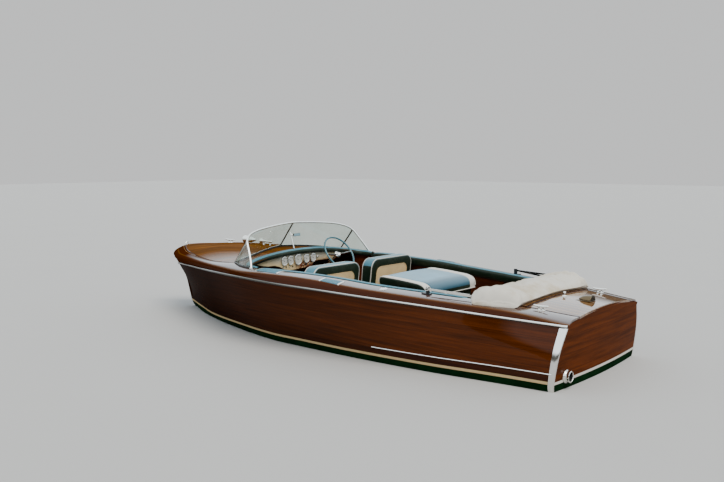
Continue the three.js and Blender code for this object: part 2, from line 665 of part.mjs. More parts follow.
// Point on the straight line between two stations of the inner deck edge
function edgeAt(x) {
  const i = STATIONS.findIndex((next) => next >= x);
  const ends = [STATIONS[i - 1], STATIONS[i]].map((at) => (
    new THREE.Vector3(at, breadth(EDGE_LINE, at), height(EDGE_LINE, at))));
  return ends[0].lerp(ends[1], (x - STATIONS[i - 1]) / (STATIONS[i] - STATIONS[i - 1]));
}
function coamingPad() {
  const [aft, fore] = PAD_ENDS;
  const path = [aft, ...STATIONS.filter((x) => x > aft && x < fore), fore].map(edgeAt);
  path.forEach((p) => p.setZ(p.z + PAD_LIFT));
  return padAlong(path, COAMING_SECTION);
}
function dashPad() {
  const path = cockpitFront().map(([x, y]) => new THREE.Vector3(x, y, deckHeight(x, y) + PAD_LIFT));
  return padAlong(path, DASH_SECTION);
}
const DASH_PAD = [[-GAP, 0, 0], [0, 0, GAP], [0, GAP, 0], [0, -GAP, 0]].reduce(
  (rest, shift) => fitted(rest, [FOREDECK, ...BOARDS], shift), dashPad());
const LINING_RAW = lining();
const LININGS = [
  fitted(LINING_RAW, [DASH_PAD], [0, GAP, -GAP]), fitted(mirrored(LINING_RAW), [DASH_PAD], [0, -GAP, -GAP]),
];
add('cockpit_lining_port', LININGS[0], FINISH.lining);
add('cockpit_lining_starboard', LININGS[1], FINISH.lining);
add('dash_pad', DASH_PAD, FINISH.green);
addPair('coaming_pad', largest(fitted(coamingPad(), [BOARD_PORT, LININGS[0]], [0, -GAP, GAP])), FINISH.green);

// Dash panel with a scalloped lower edge, and the row of round gauges on it
const DASH_X = 880;
const DASH_THICK = 12;
const PANEL_CLEAR = 2;
const DASH_LOWER = [
  [-760, 778], [-600, 752], [-447, 752], [-315, 752], [-241, 734], [-204, 700], [-76, 684], [102, 677],
  [189, 677], [292, 697], [359, 731], [443, 754], [558, 757], [655, 772], [760, 800],
];
const DASH_TOP = [760, 600, 400, 200, 0, -200, -400, -600, -760];
const GAUGES = [[294, 46], [188, 46], [56, 56], [-92, 46], [-214, 46]];
const GAUGE_Z = 795;
function dashPanel() {
  const top = DASH_TOP.map((y) => [y, deckHeight(DASH_X + 60, y) - PLANK / 2]);
  const panel = alongBoat([...DASH_LOWER, ...top], DASH_X, DASH_X + DASH_THICK);
  const trims = [
    [DASH_PAD, [0, 0, -PANEL_CLEAR]], [DASH_PAD, [PANEL_CLEAR, 0, 0]], [DASH_PAD, [-PANEL_CLEAR, 0, 0]],
    [FOREDECK, [0, 0, -PANEL_CLEAR]], [FOREDECK, [-PANEL_CLEAR, 0, 0]],
    [LININGS[0], [0, -GAP, 0]], [LININGS[1], [0, GAP, 0]],
  ];
  return largest(trims.reduce((rest, [tool, shift]) => fitted(rest, [tool], shift), panel));
}
function gauges() {
  const bar = box(DASH_X - 6, DASH_X + 2, -214, 294, GAUGE_Z - 14, GAUGE_Z + 14);
  const dials = GAUGES.map(([y, radius]) => {
    const dial = new THREE.CylinderGeometry(radius - 4, radius, 14, 20).rotateZ(Math.PI / 2);
    return moved(dial, DASH_X - 5, y, GAUGE_Z);
  });
  return joined([bar, ...dials]);
}
add('dash_panel', joined([dashPanel(), gauges()]), FINISH.tan);

// Steering: a dished wheel on a raked column that runs down to the forward bulkhead
const WHEEL = { x: 660, y: -470, z: 845, radius: 228, grip: 11, dish: 42, tilt: 36 };
const COLUMN = { radius: 17, length: 1300 };
const TILT = THREE.MathUtils.degToRad(WHEEL.tilt);
const WHEEL_AXIS = new THREE.Vector3(Math.cos(TILT), 0, -Math.sin(TILT));
function onColumn(geometry) {
  const turn = new THREE.Quaternion().setFromUnitVectors(new THREE.Vector3(0, 0, 1), WHEEL_AXIS);
  return geometry.applyQuaternion(turn).translate(WHEEL.x, WHEEL.y, WHEEL.z);
}
function upright(radiusTop, radiusBottom, z0, z1, sides = 16) {
  const length = z1 - z0;
  return new THREE.CylinderGeometry(radiusTop, radiusBottom, length, sides)
    .rotateX(Math.PI / 2).translate(0, 0, z0 + length / 2);
}
function steeringWheel() {
  const rim = new THREE.TorusGeometry(WHEEL.radius, WHEEL.grip, 8, 36);
  const hub = upright(30, 22, WHEEL.dish - 26, WHEEL.dish + 18);
  const spokes = [-1, 1].map((side) => {
    const path = [[side * (WHEEL.radius - 3), 2], [side * 120, WHEEL.dish - 14], [side * 10, WHEEL.dish - 6]];
    return rod(path.map(([y, z]) => new THREE.Vector3(0, y, z)), 8, 8, new THREE.Vector3(1, 0, 0));
  });
  return onColumn(joined([rim, hub, ...spokes]));
}
const COLUMN_RAW = onColumn(upright(COLUMN.radius, COLUMN.radius, WHEEL.dish + 18.4, COLUMN.length));
add('steering_wheel', steeringWheel(), FINISH.rim);
const COLUMN_END = box(FORE_BULKHEAD, 3000, -1000, 0, -400, 900);
const COLUMN_CUT = cut(fitted(COLUMN_RAW, [FORE_WALL], [-GAP, 0, 0]), COLUMN_END);
add('steering_column', COLUMN_CUT, FINISH.chrome);

// Front seats, port and starboard of a centre aisle
const SEAT = { y0: 105, y1: 898, baseTop: 290, cushionTop: 430, x0: -125, x1: 430 };
function seatBase() {
  return box(SEAT.x0 + 60, SEAT.x1 - 40, SEAT.y0 + 20, SEAT.y1 - 20, FLOOR_TOP + GAP, SEAT.baseTop);
}
function seatCushion() {
  const outline = [
    [45, SEAT.baseTop + GAP], [SEAT.x1, SEAT.baseTop + GAP], [SEAT.x1 + 12, 350], [SEAT.x1, 410],
    [SEAT.x1 - 50, SEAT.cushionTop], [60, SEAT.cushionTop - 25],
  ];
  return acrossBoat(outline, SEAT.y0, SEAT.y1);
}
function seatBack() {
  const outline = [
    [-64, SEAT.baseTop + GAP], [44, SEAT.baseTop + GAP], [16, 580], [-2, 795], [-22, 840], [-58, 858],
    [-108, 854], [-138, 832], [-148, 790], [-124, 580],
  ];
  return acrossBoat(outline, SEAT.y0, SEAT.y1);
}
addPair('seat_base', seatBase(), FINISH.green);
addPair('seat_cushion', seatCushion(), FINISH.blue);
addPair('seat_back', seatBack(), FINISH.green);

// Engine, its box and the hinged, padded hatch
const HATCH = { x0: -1280, x1: -715, half: 470, bottom: 655.3, top: 674 };
const ENGINE = { x0: -1230, x1: -770, half: 300, top: 560 };
function engineBox() {
  const { x0, x1, half, wall, top } = ENGINE_BOX;
  const outer = box(x0, x1, -half, half, FLOOR_TOP + GAP, top);
  return cut(outer, box(x0 + wall, x1 - wall, -half + wall, half - wall, FLOOR_TOP - 5, top + 5));
}
function hatchPad() {
  const base = HATCH.top + GAP;
  const outline = [
    [-712, base], [-706, 720], [-712, 752], [-740, 774], [-900, 768], [-1200, 742], [-1255, 728],
    [-1296, 700], [-1312, 655], [-1314, 600], [-1284, 600], [-1284, base],
  ];
  return acrossBoat(outline, -480, 480);
}
const ENGINE_BLOCK = box(ENGINE.x0, ENGINE.x1, -ENGINE.half, ENGINE.half, ENGINE_SEAT.top + GAP, ENGINE.top);
add('engine_block', ENGINE_BLOCK, FINISH.iron);
add('engine_box', engineBox(), FINISH.lining);
add('engine_hatch', box(HATCH.x0, HATCH.x1, -HATCH.half, HATCH.half, HATCH.bottom, HATCH.top), FINISH.lining);
add('hatch_pad', hatchPad(), FINISH.blue);

// Aft bench across the cockpit
const BENCH = { x0: -2460, x1: -1960, half: 640, baseTop: 290, backTop: 640 };
function benchBase() {
  const half = BENCH.half - 20;
  return box(BENCH.x0 + 100, BENCH.x1 - 40, -half, half, FLOOR_TOP + GAP, BENCH.baseTop);
}
function benchCushion() {
  const base = BENCH.baseTop + GAP;
  return acrossBoat([
    [BENCH.x0 + 125, base], [BENCH.x1, base], [BENCH.x1 + 12, 350], [BENCH.x1, 405], [BENCH.x1 - 50, 425],
    [BENCH.x0 + 115, 405],
  ], -BENCH.half, BENCH.half);
}
function benchBack() {
  const base = BENCH.baseTop + GAP;
  return acrossBoat([
    [BENCH.x0 - 24, base], [BENCH.x0 + 124, base], [BENCH.x0 + 105, 430], [BENCH.x0 + 50, BENCH.backTop - 20],
    [BENCH.x0 + 20, BENCH.backTop], [BENCH.x0 - 24, BENCH.backTop],
  ], -BENCH.half, BENCH.half);
}
add('bench_base', benchBase(), FINISH.lining);
add('bench_cushion', benchCushion(), FINISH.blue);
add('bench_back', benchBack(), FINISH.green);

// Windshield: a bright hoop with a raked centre mullion, bottom rails and side wings
const SHIELD = { mullionFoot: 1233, mullionTop: 1006, hoopTop: 1236 };
const HOOP_FOOT = [640, 1054];
const HOOP_SIDE = [[666, 1030, 856], [715, 1000, 937], [807, 950, 1069]];
const HOOP_CORNER = new THREE.Vector3(829, 928, 1096);
const HOOP_TOP = [
  [849, 900, 1124], [873, 850, 1149], [888, 800, 1165], [905, 700, 1188], [925, 560, 1206], [955, 380, 1220],
  [989, 200, 1229],
];
const BOTTOM_RAIL = [[1233, 0], [1176, 200], [1120, 400], [1073, 600], [1045, 800], [1037, 925]];
const WING_RAIL = [[1037, 925], [955, 972], [865, 1016], [765, 1047], [690, 1055], [648, 1052]];
const HOOP_R = 11;
const RAIL_R = 9;
function seated(x, y, lift) {
  return new THREE.Vector3(x, y, deckHeight(x, y) + lift);
}
const toVector = ([x, y, z]) => new THREE.Vector3(x, y, z);
const HOOP_SIDE_PATH = [seated(...HOOP_FOOT, 1.5), ...HOOP_SIDE.map(toVector)];
const HOOP_TOP_PATH = [...HOOP_TOP.map(toVector), new THREE.Vector3(SHIELD.mullionTop, 0, SHIELD.hoopTop)];
function hoopPath() {
  const port = [...HOOP_SIDE_PATH, HOOP_CORNER, ...HOOP_TOP_PATH];
  return [...port, ...port.slice(0, -1).map((p) => new THREE.Vector3(p.x, -p.y, p.z)).reverse()];
}
const railPath = (places) => places.map(([x, y]) => seated(x, y, RAIL_R + 2));
const FRONT_CORNER = railPath(BOTTOM_RAIL).at(-1);
const MULLION_TOP = new THREE.Vector3(SHIELD.mullionTop + 3, 0, SHIELD.hoopTop - 6);
const MULLION = [seated(SHIELD.mullionFoot, 0, RAIL_R), MULLION_TOP];
const DECKS = [FOREDECK, ...BOARDS];
const UP_X = new THREE.Vector3(1, 0, 0);
function frameTubes(grow = 0) {
  const tube = (path, radius, up) => rod(path, radius + grow, 6, up);
  const port = [
    tube(railPath(BOTTOM_RAIL), RAIL_R), tube(railPath(WING_RAIL), RAIL_R),
    tube([FRONT_CORNER, HOOP_CORNER], RAIL_R - 1),
  ];
  return [tube(hoopPath(), HOOP_R, UP_X), tube(MULLION, RAIL_R - 1, UP_X), ...port, ...port.map(mirrored)];
}
const FRAME = largest(fitted(joined(frameTubes()), DECKS, [0, 0, GAP]));
const GLASS_HALF = 2.5;
function pane(points) {
  const normal = new THREE.Vector3();
  const middle = points.reduce((sum, p) => sum.addScaledVector(p, 1 / points.length), new THREE.Vector3());
  points.forEach((p, i) => {
    const q = points[(i + 1) % points.length];
    normal.add(p.clone().sub(middle).cross(q.clone().sub(middle)));
  });
  normal.normalize();
  return loft([-GLASS_HALF, GLASS_HALF].map((d) => points.map((p) => p.clone().addScaledVector(normal, d))));
}
const frontPane = () => pane([...railPath(BOTTOM_RAIL), HOOP_CORNER, ...HOOP_TOP_PATH]);
const wingPane = () => pane([...railPath(WING_RAIL), ...HOOP_SIDE_PATH, HOOP_CORNER]);
const FRAME_CLEAR = joined(frameTubes(GAP));
const inFrame = (glass) => largest(fitted(cut(glass, FRAME_CLEAR), DECKS, [0, 0, GAP]));
add('windshield_frame', FRAME, FINISH.chrome);
addPair('windshield_glass', inFrame(frontPane()), FINISH.glass);
addPair('wing_glass', inFrame(wingPane()), FINISH.glass);
const POST = [new THREE.Vector3(992, 0, deckHeight(992, 0) - 5), new THREE.Vector3(1052, 0, 1116)];
const POST_BAR = cut(rod(POST, 7, 8, UP_X), FRAME_CLEAR, FOREDECK, moved(FOREDECK, 0, 0, GAP));
const MIRROR = joined([box(1006, 1020, -135, -12, 1062, 1100), box(1018, 1044, -30, 0, 1076, 1088)]);
add('windshield_post', joined([largest(POST_BAR), MIRROR]), FINISH.chrome);

// Bright rub rails along the hull
const RAIL_HALF = 14;
const RAIL_OUT = 17;
const RAIL_END = 0.003;          // share of the length where its after end lies
function rubRail() {
  const shares = [RAIL_END, ...HULL_SHARES.filter((s) => s > RAIL_END && linePoint(RAIL_LINE, s, 0).y > 34)];
  const rings = shares.map((s, i) => {
    const at = linePoint(RAIL_LINE, s, END_INSET);
    const low = topsidePoint(s, 2.87);
    const next = linePoint(RAIL_LINE, Math.min(s + 0.01, 1), END_INSET);
    const along = next.sub(at).setZ(0).normalize();
    const out = new THREE.Vector3(-along.y, along.x, 0);
    const reach = Math.max(0, low.clone().sub(at).dot(out)) + 1.2;
    const section = [
      [reach, -RAIL_HALF], [reach + 10, -RAIL_HALF], [reach + RAIL_OUT, -5], [reach + RAIL_OUT, 5],
      [reach + 10, RAIL_HALF], [reach, RAIL_HALF],
    ];
    return section.map(([u, v]) => at.clone().addScaledVector(out, u).add(new THREE.Vector3(0, 0, v)));
  });
  const shifts = [[0, GAP, 0], [GAP, 0, 0]];
  const beside = [BOARD_PORT, TOPSIDE_PORT];
  return largest(shifts.reduce((rest, shift) => fitted(rest, beside, shift), loft(rings)));
}
addPair('rub_rail', rubRail(), FINISH.chrome);

// Deck fittings
function onDeck(geometry, x, y, sink = 12) {
  const z = deckHeight(x, y) - sink;
  return largest(fitted(moved(geometry, x, y, z), [...DECKS, AFT_DECK], [0, 0, GAP]));
}
function cleat(length) {
  const post = upright(9, 14, 0, 12 + 34, 8);
  const horn = rod([-1, -0.5, 0.5, 1].map((t) => (
    new THREE.Vector3((t * length) / 2, 0, 12 + 34 + 6 * Math.abs(t)))), 7);
  return joined([post, horn]);
}
// Turned shape about a lengthwise axis, from [radius, distance aft] points
function turned(profile, sides) {
  const points = profile.map(([r, z]) => new THREE.Vector2(r, z));
  return new THREE.LatheGeometry(points, sides).rotateZ(Math.PI / 2);
}
function lensLamp(radius, length, lift) {
  const profile = [[0, 0], [radius, 0], [radius, length * 0.25], [radius * 0.75, length * 0.7], [0, length]];
  return joined([moved(turned(profile, 16), length * 0.4, 0, lift), upright(8, 18, 0, lift, 8)]);
}
function deckHorn() {
  const profile = [[0, 0], [34, 0], [30, 10], [16, 60], [11, 190], [0, 200]];
  const feet = [60, -20].map((x) => moved(upright(8, 12, 0, 52, 8), x, 0, 0));
  return joined([moved(turned(profile, 14), 100, 0, 55), ...feet]);
}
const ARCH = { half: 42, rise: 42 };
function bowArch() {
  const arch = [-1, -0.6, 0, 0.6, 1].map((t) => (
    new THREE.Vector3(0, t * ARCH.half, 12 + ARCH.rise * (1 - t * t))));
  const path = [new THREE.Vector3(0, -ARCH.half, 0), ...arch, new THREE.Vector3(0, ARCH.half, 0)];
  return joined([rod(path, 6, 8, UP_X), upright(7, 10, 0, ARCH.rise + 8, 8)]);
}
function ventHood() {
  const rings = [[0, 6, 6], [20, 34, 30], [75, 52, 46], [135, 58, 50]].map(([x, halfWidth, rise]) => (
    [0, 0.25, 0.5, 0.75, 1].map((t) => {
      const angle = Math.PI * t;
      return new THREE.Vector3(-x, halfWidth * Math.cos(angle), 12 + rise * Math.sin(angle));
    }).concat([new THREE.Vector3(-x, -halfWidth, 0), new THREE.Vector3(-x, halfWidth, 0)])));
  return cut(loft(rings), box(-150, -60, -44, 44, 16, 48));
}
add('bow_cleat', onDeck(cleat(190), 2150, 0), FINISH.chrome);
add('bow_chock', onDeck(bowArch(), 3020, 0), FINISH.chrome);
add('searchlight', onDeck(lensLamp(46, 205, 62), 1790, 0), FINISH.chrome);
add('deck_horn', onDeck(deckHorn(), 1470, 0), FINISH.chrome);
addPair('stern_cleat', onDeck(cleat(150), -2679, 643), FINISH.chrome);
const SOCKET = joined([upright(20, 26, 0, 20, 12), upright(13, 13, 10, 82, 12)]);
add('light_socket', onDeck(SOCKET, -2600, 0), FINISH.chrome);
add('deck_vent', onDeck(ventHood(), -2750, 0), FINISH.chrome);

// Exhaust outlet on the transom, port side
const EXHAUST = { y: 700, z: 112, radius: 50, bore: 40, length: 55 };
function exhaust() {
  const { radius, bore, length } = EXHAUST;
  const flange = [[0, -45], [66, -45], [66, 8]];
  const cup = turned([...flange, [radius, 16], [radius, length], [bore, length], [bore, 12], [0, 12]], 20);
  const x = transomX(EXHAUST.y, EXHAUST.z);
  const outside = cut(moved(cup, x, EXHAUST.y, EXHAUST.z), box(x + 25, x + 90, 0, 1000, 0, 400));
  return largest(fitted(outside, [TRANSOM], [-GAP, 0, 0]));
}
add('exhaust_outlet', exhaust(), FINISH.chrome);

// Under water: propeller shaft, its strut, the propeller and the rudder
const PROP = { x: -2450, radius: 152, hub: 32, hubLength: 90, pitch: 35, bladeHalf: 3.5 };
function propeller() {
  const hub = upright(PROP.hub * 0.7, PROP.hub, -PROP.hubLength / 2, PROP.hubLength / 2, 16);
  const leading = [[18, 22], [48, 44], [84, 57], [118, 51], [142, 28]];
  const outline = [...leading, [PROP.radius, 0], ...leading.map(([r, w]) => [r, -w]).reverse()];
  const plate = upward(outline, -PROP.bladeHalf, PROP.bladeHalf).rotateX(THREE.MathUtils.degToRad(PROP.pitch));
  const blades = [0, 1, 2].map((i) => plate.clone().rotateZ((i * 2 * Math.PI) / 3));
  const bar = upright(SHAFT.radius, SHAFT.radius, -(SHAFT.x0 - PROP.x), PROP.x - SHAFT.x1, 12);
  return alongShaft(joined([hub, ...blades, bar]), PROP.x);
}
add('propeller', propeller(), FINISH.bronze);

const STRUT_X = -2290;
function strut() {
  const bore = SHAFT.radius + SHAFT.clear;
  const profile = [[bore, -45], [25, -45], [25, 45], [bore, 45], [bore, -45]];
  const barrel = turned(profile, 16).rotateY(-Math.PI / 2);
  const top = height(KEEL_LINE, STRUT_X) - 5;
  const foot = shaftZ(STRUT_X) + 19;
  const outline = [[STRUT_X - 38, foot], [STRUT_X + 42, foot], [STRUT_X + 50, top], [STRUT_X - 44, top]];
  const arm = acrossBoat(outline, -7, 7);
  return largest(fitted(joined([alongShaft(barrel, STRUT_X), arm]), [BOTTOM], [0, 0, -GAP]));
}
add('shaft_strut', strut(), FINISH.bronze);

const RUDDER = { x0: -2850, x1: -2610, top: -238, widest: -330, bottom: -520, stock: 15 };
function rudder() {
  const blade = acrossBoat([
    [RUDDER.x0 + 20, RUDDER.top], [RUDDER.x1, RUDDER.top], [RUDDER.x1 + 14, RUDDER.widest],
    [RUDDER.x1 - 12, RUDDER.bottom + 20], [RUDDER.x1 - 50, RUDDER.bottom], [RUDDER.x0 + 60, RUDDER.bottom],
    [RUDDER.x0 + 8, RUDDER.bottom + 50], [RUDDER.x0, RUDDER.widest],
  ], -7, 7);
  const stockTop = RUDDER_BOSS.bottom - 0.5;
  const stock = moved(upright(RUDDER.stock, RUDDER.stock, RUDDER.bottom + 60, stockTop, 12), RUDDER_X, 0, 0);
  return joined([blade, stock]);
}
add('rudder', rudder(), FINISH.bronze);

// Folded top: deck hinges, two bows a side and the stowed cloth in its boot
const TOP = { x: -1600, y: 880, z: 772, boltR: 7, clear: 0.6 };
function topHinge() {
  const z = deckHeight(TOP.x, TOP.y);
  const foot = box(TOP.x - 45, TOP.x + 45, TOP.y - 24, TOP.y + 24, z - 25, z + 10);
  const ear = box(TOP.x - 20, TOP.x + 20, TOP.y - 22, TOP.y - 14, z, TOP.z + 18);
  const pin = new THREE.CylinderGeometry(TOP.boltR, TOP.boltR, 38, 12);
  return largest(fitted(joined([foot, ear, moved(pin, TOP.x, TOP.y - 3, TOP.z)]), [BOARD_PORT], [0, 0, GAP]));
}
addPair('top_hinge', topHinge(), FINISH.chrome);

const BOOT = { x0: -2500, x1: -2030, top: 842, beyond: 138, beyondAft: 68, taper: -2250, onBoard: 900 };
// Section along the boat: share of its half length, and share of its rise above the deck
const BOOT_PROFILE = [
  [1, 0.14], [0.97, 0.48], [0.72, 0.82], [0.3, 1], [-0.1, 1], [-0.5, 0.82], [-0.86, 0.44], [-1, 0.12],
];
function bootSide(x, t) {
  const aft = Math.min(Math.max((BOOT.taper - x) / (BOOT.taper - BOOT.x0), 0), 1);
  return t * (breadth(EDGE_LINE, x) + BOOT.beyond + aft * (BOOT.beyondAft - BOOT.beyond));
}
function bootSection(t) {
  const full = Math.max(0.16, 1 - Math.abs(t) ** 12) ** 0.5;
  const centreX = (BOOT.x0 + BOOT.x1) / 2;
  const halfX = ((BOOT.x1 - BOOT.x0) / 2) * (0.9 + 0.1 * full);
  const under = (x) => deckHeight(x, Math.min(Math.abs(bootSide(x, t)), BOOT.onBoard)) - 3;
  const floorZ = (x) => (x > COCKPIT_AFT ? Math.max(under(x), under(COCKPIT_AFT)) : under(x));
  const at = (share, z) => {
    const x = centreX + share * halfX;
    return new THREE.Vector3(x, bootSide(x, t), z);
  };
  const low = [-1, -0.5, 0, 0.5, 1].map((share) => at(share, floorZ(centreX + share * halfX)));
  const base = floorZ(centreX);
  const high = BOOT_PROFILE.map(([share, rise]) => at(share, base + (BOOT.top - base) * rise * full));
  return [...low, ...high];
}
function boot() {
  const rings = [-1, -0.97, -0.85, -0.6, -0.3, 0, 0.3, 0.6, 0.85, 0.97, 1].map(bootSection);
  return loft(rings);
}
// Two flat bars a side, folded back from one pin: one to the boot's side, one to its forward edge
const BOW_ENDS = [[-2062, 860, 757], [-2045, 800, 737]];
function bar([x, y, z]) {
  const path = [new THREE.Vector3(TOP.x - 4, TOP.y - 5, TOP.z), new THREE.Vector3(x, y - 5, z)];
  return sweep(path, [[-4, -9], [4, -9], [4, 9], [-4, 9]]);
}
function topBows() {
  const round = (radius, length) => new THREE.CylinderGeometry(radius, radius, length, 12);
  const pinHole = moved(round(TOP.boltR + TOP.clear, 80), TOP.x, TOP.y, TOP.z);
  const eye = moved(round(17, 8), TOP.x, TOP.y - 5, TOP.z);
  return cut(joined([eye, ...BOW_ENDS.map(bar)]), pinHole);
}
const BOOT_FITTED = largest(fitted(boot(), [...BOARDS, AFT_DECK, ...LININGS, AFT_WALL], [0, 0, GAP]));
add('top_boot', BOOT_FITTED, FINISH.canvas);
const BOOTS = [BOOT_FITTED, mirrored(BOOT_FITTED)];
addPair('top_bows', largest(fitted(topBows(), BOOTS, [GAP, 0, 0])), FINISH.bar);

export default boat;
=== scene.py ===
"""Looks of a varnished wooden runabout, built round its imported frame.

Hull lines are in millimetres, as in the part's source. Everything that is placed is in metres:
+X is forward, +Y is to port, +Z is up, and z = 0 is the waterline.
"""

import math

import bmesh
import bpy
from bpy.props import FloatProperty, FloatVectorProperty, IntProperty, PointerProperty
from mathutils import Matrix, Vector, noise


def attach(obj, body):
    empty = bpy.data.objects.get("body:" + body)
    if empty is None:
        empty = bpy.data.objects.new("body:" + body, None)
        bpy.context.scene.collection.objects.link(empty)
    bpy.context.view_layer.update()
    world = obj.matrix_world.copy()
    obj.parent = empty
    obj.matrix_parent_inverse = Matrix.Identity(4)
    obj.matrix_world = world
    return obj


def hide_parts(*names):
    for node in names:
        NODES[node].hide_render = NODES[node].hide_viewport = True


bl_info = {
    "name": "Wooden runabout",
    "version": (1, 0, 0),
    "blender": (4, 5, 0),
    "location": "View3D > Sidebar > Runabout",
    "description": "Builds the finishes, upholstery and brightwork of a wooden runabout round its frame",
    "category": "Object",
}

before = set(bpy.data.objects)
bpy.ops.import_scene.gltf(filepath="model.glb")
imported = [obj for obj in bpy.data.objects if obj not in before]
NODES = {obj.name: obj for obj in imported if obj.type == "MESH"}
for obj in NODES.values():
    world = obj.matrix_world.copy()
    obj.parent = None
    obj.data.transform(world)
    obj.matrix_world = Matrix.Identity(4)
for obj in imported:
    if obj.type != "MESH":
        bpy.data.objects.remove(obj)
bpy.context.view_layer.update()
SIDES = (("port", 1), ("starboard", -1))
MM = 0.001

# Hull lines, each a row of x, half breadth and height, stern to bow, in millimetres
CHINE_LINE = (
    (-3000, 872, -60), (-1700, 965, -65), (-750, 975, -65), (0, 945, -62), (440, 905, -58),
    (1115, 735, -45), (1870, 490, -20), (2400, 270, 5), (2850, 42, 25),
)
STRIPE_LINE = (
    (-3000, 903, 80), (-2430, 932, 80), (-1700, 996, 80), (-750, 1008, 80), (0, 965, 80),
    (442, 934, 80), (1115, 774, 80), (1870, 543, 80), (2400, 285, 80), (2914, 20.3, 80),
)
SIDE_LINE = (
    (-3000, 878, 345), (-2430, 935, 352), (-1640, 1036, 362), (-1000, 1090, 370), (-400, 1112, 376),
    (160, 1106, 382), (700, 1040, 386), (1220, 892, 384), (1640, 742, 378), (2100, 540, 368),
    (2520, 322, 354), (2860, 118, 340), (3000, 20.3, 335),
)
RAIL_LINE = (
    (-3000, 786, 570), (-2430, 897, 598), (-1640, 1033, 638), (-1000, 1138, 668), (-500, 1186, 688),
    (160, 1213, 704), (700, 1155, 713), (1220, 1000, 700), (1640, 830, 681), (2100, 617, 658),
    (2520, 425, 637), (2900, 218, 607), (3168, 20.3, 567),
)
SHOULDER_LINE = (
    (-3000, 752, 592), (-2430, 882, 629), (-1640, 1021, 670), (-1000, 1127, 700), (-500, 1175, 720),
    (160, 1202, 736), (700, 1147, 745), (1220, 1000, 734), (1640, 842, 720), (2100, 650, 706),
    (2520, 470, 696), (2900, 316, 690), (3000, 246, 690), (3100, 174, 690), (3200, 103, 690),
    (3280, 45, 690), (3334, 0.3, 690),
)
EDGE_LINE = (
    (-3000, 575, 628), (-2490, 650, 676), (-2000, 748, 706), (-1600, 820, 727), (-1000, 910, 757),
    (-600, 940, 785), (-200, 962, 800), (200, 1008, 810), (600, 1026, 809), (1000, 945, 822),
    (1600, 745, 786), (1980, 578, 774), (2360, 396, 770), (2690, 250, 784), (2880, 139, 806),
    (3020, 0.3, 842),
)
CROWN_LINE = (
    (-3030, 0, 662), (-2600, 0, 694), (-2200, 0, 730), (-1000, 0, 820), (560, 0, 896), (885, 0, 912),
    (1240, 0, 925), (1500, 0, 931), (1900, 0, 930), (2100, 0, 922), (2400, 0, 898), (2730, 0, 875),
    (2930, 0, 856), (3020, 0, 842),
)
STEM_PROFILE = ((2850, -10), (2905, 40), (2934, 85), (2975, 200), (3025, 350), (3095, 484), (3168, 566.5))
LINE_POWER = {RAIL_LINE: 1.7, EDGE_LINE: 1.8}
STATIONS = (
    -2800, -2480, -2200, -1850, -1500, -1100, -700, -300, 100, 360, 560, 800, 1000, 1300, 1600,
    1850, 2100, 2300, 2480, 2640, 2770, 2870, 2940, 2985, 3008, 3020,
)
CENTRE_CLEAR = 0.3
PLANK = 20
GAP = 0.3
TRANSOM_THICK = 30
TRANSOM_FOOT, TRANSOM_TOP, TRANSOM_HALF = -2980, 567, 900
TRANSOM_RAKE, TRANSOM_ROUND, TRANSOM_FLAT = 0.065, 45, 0.85
KEEL_HALF, KEEL_Z = 20, -160
SIDE_INSET = TRANSOM_THICK + GAP * 3
ROUND_RISE = 34
COCKPIT_FORE = 885
COCKPIT_SHOULDER = 560
COCKPIT_POWER = 0.45
COCKPIT_AFT = -2480
FOREDECK_END = 3008
HEART_X, HEART_Z = 2300, 350
HULL_AFT, HULL_RUN, SIDE_RUN = -3.0, 6.0, 6.1
DECK_ROUNDS, DECK_HALVINGS = 6, 24
SIDE_ROUNDS, SIDE_HALVINGS = 12, 20


def smooth(line, column, x, power=1.0):
    """Value of a line's column at x, smooth through its rows."""
    last = len(line) - 1
    if x <= line[0][0]:
        return line[0][column]
    if x >= line[last][0]:
        return line[last][column]
    i = next(k for k in range(last) if line[k + 1][0] >= x)

    def read(k):
        value = line[k][column]
        return value if power == 1.0 else max(value, 0) ** power

    def slope(k):
        a, b = max(k - 1, 0), min(k + 1, last)
        return (read(b) - read(a)) / (line[b][0] - line[a][0])

    h = line[i + 1][0] - line[i][0]
    t = (x - line[i][0]) / h
    a = read(i) * (2 * t**3 - 3 * t**2 + 1) + slope(i) * h * (t**3 - 2 * t**2 + t)
    b = read(i + 1) * (3 * t**2 - 2 * t**3) + slope(i + 1) * h * (t**3 - t**2)
    return a + b if power == 1.0 else max(a + b, 0) ** (1 / power)


def breadth(line, x):
    return smooth(line, 1, x, LINE_POWER.get(line, 1.0))


def height(line, x):
    return smooth(line, 2, x)


def transom_x(y, z):
    """Aft face of the transom at a place on it, rounder in plan at the bottom than at the top."""
    flat = TRANSOM_FLAT * min(max(z / TRANSOM_TOP, 0), 1)
    return TRANSOM_FOOT - TRANSOM_RAKE * z + TRANSOM_ROUND * (y / TRANSOM_HALF) ** 2 * (1 - flat)


def line_point(line, share, inset):
    """Point on a hull line at a share of its length, trimmed at the stern by the inset."""
    aft = transom_x(line[0][1], line[0][2]) + inset
    x = aft + share * (line[-1][0] - aft)
    return Vector((x, breadth(line, x), height(line, x)))


EDGE_AFT = transom_x(EDGE_LINE[0][1], EDGE_LINE[0][2])
EDGE_FORE = EDGE_LINE[-1][0]
SPLIT = 3


def share_of(x):
    return (x - EDGE_AFT) / (EDGE_FORE - EDGE_AFT)


def fine_shares():
    """The hull's stations with more between them, as shares of the length."""
    coarse = [0.0, *[share_of(x) for x in STATIONS]]
    fine = [a + (b - a) * k / SPLIT for a, b in zip(coarse, coarse[1:]) for k in range(SPLIT)]
    return [*fine, 1.0]


SHARES = fine_shares()


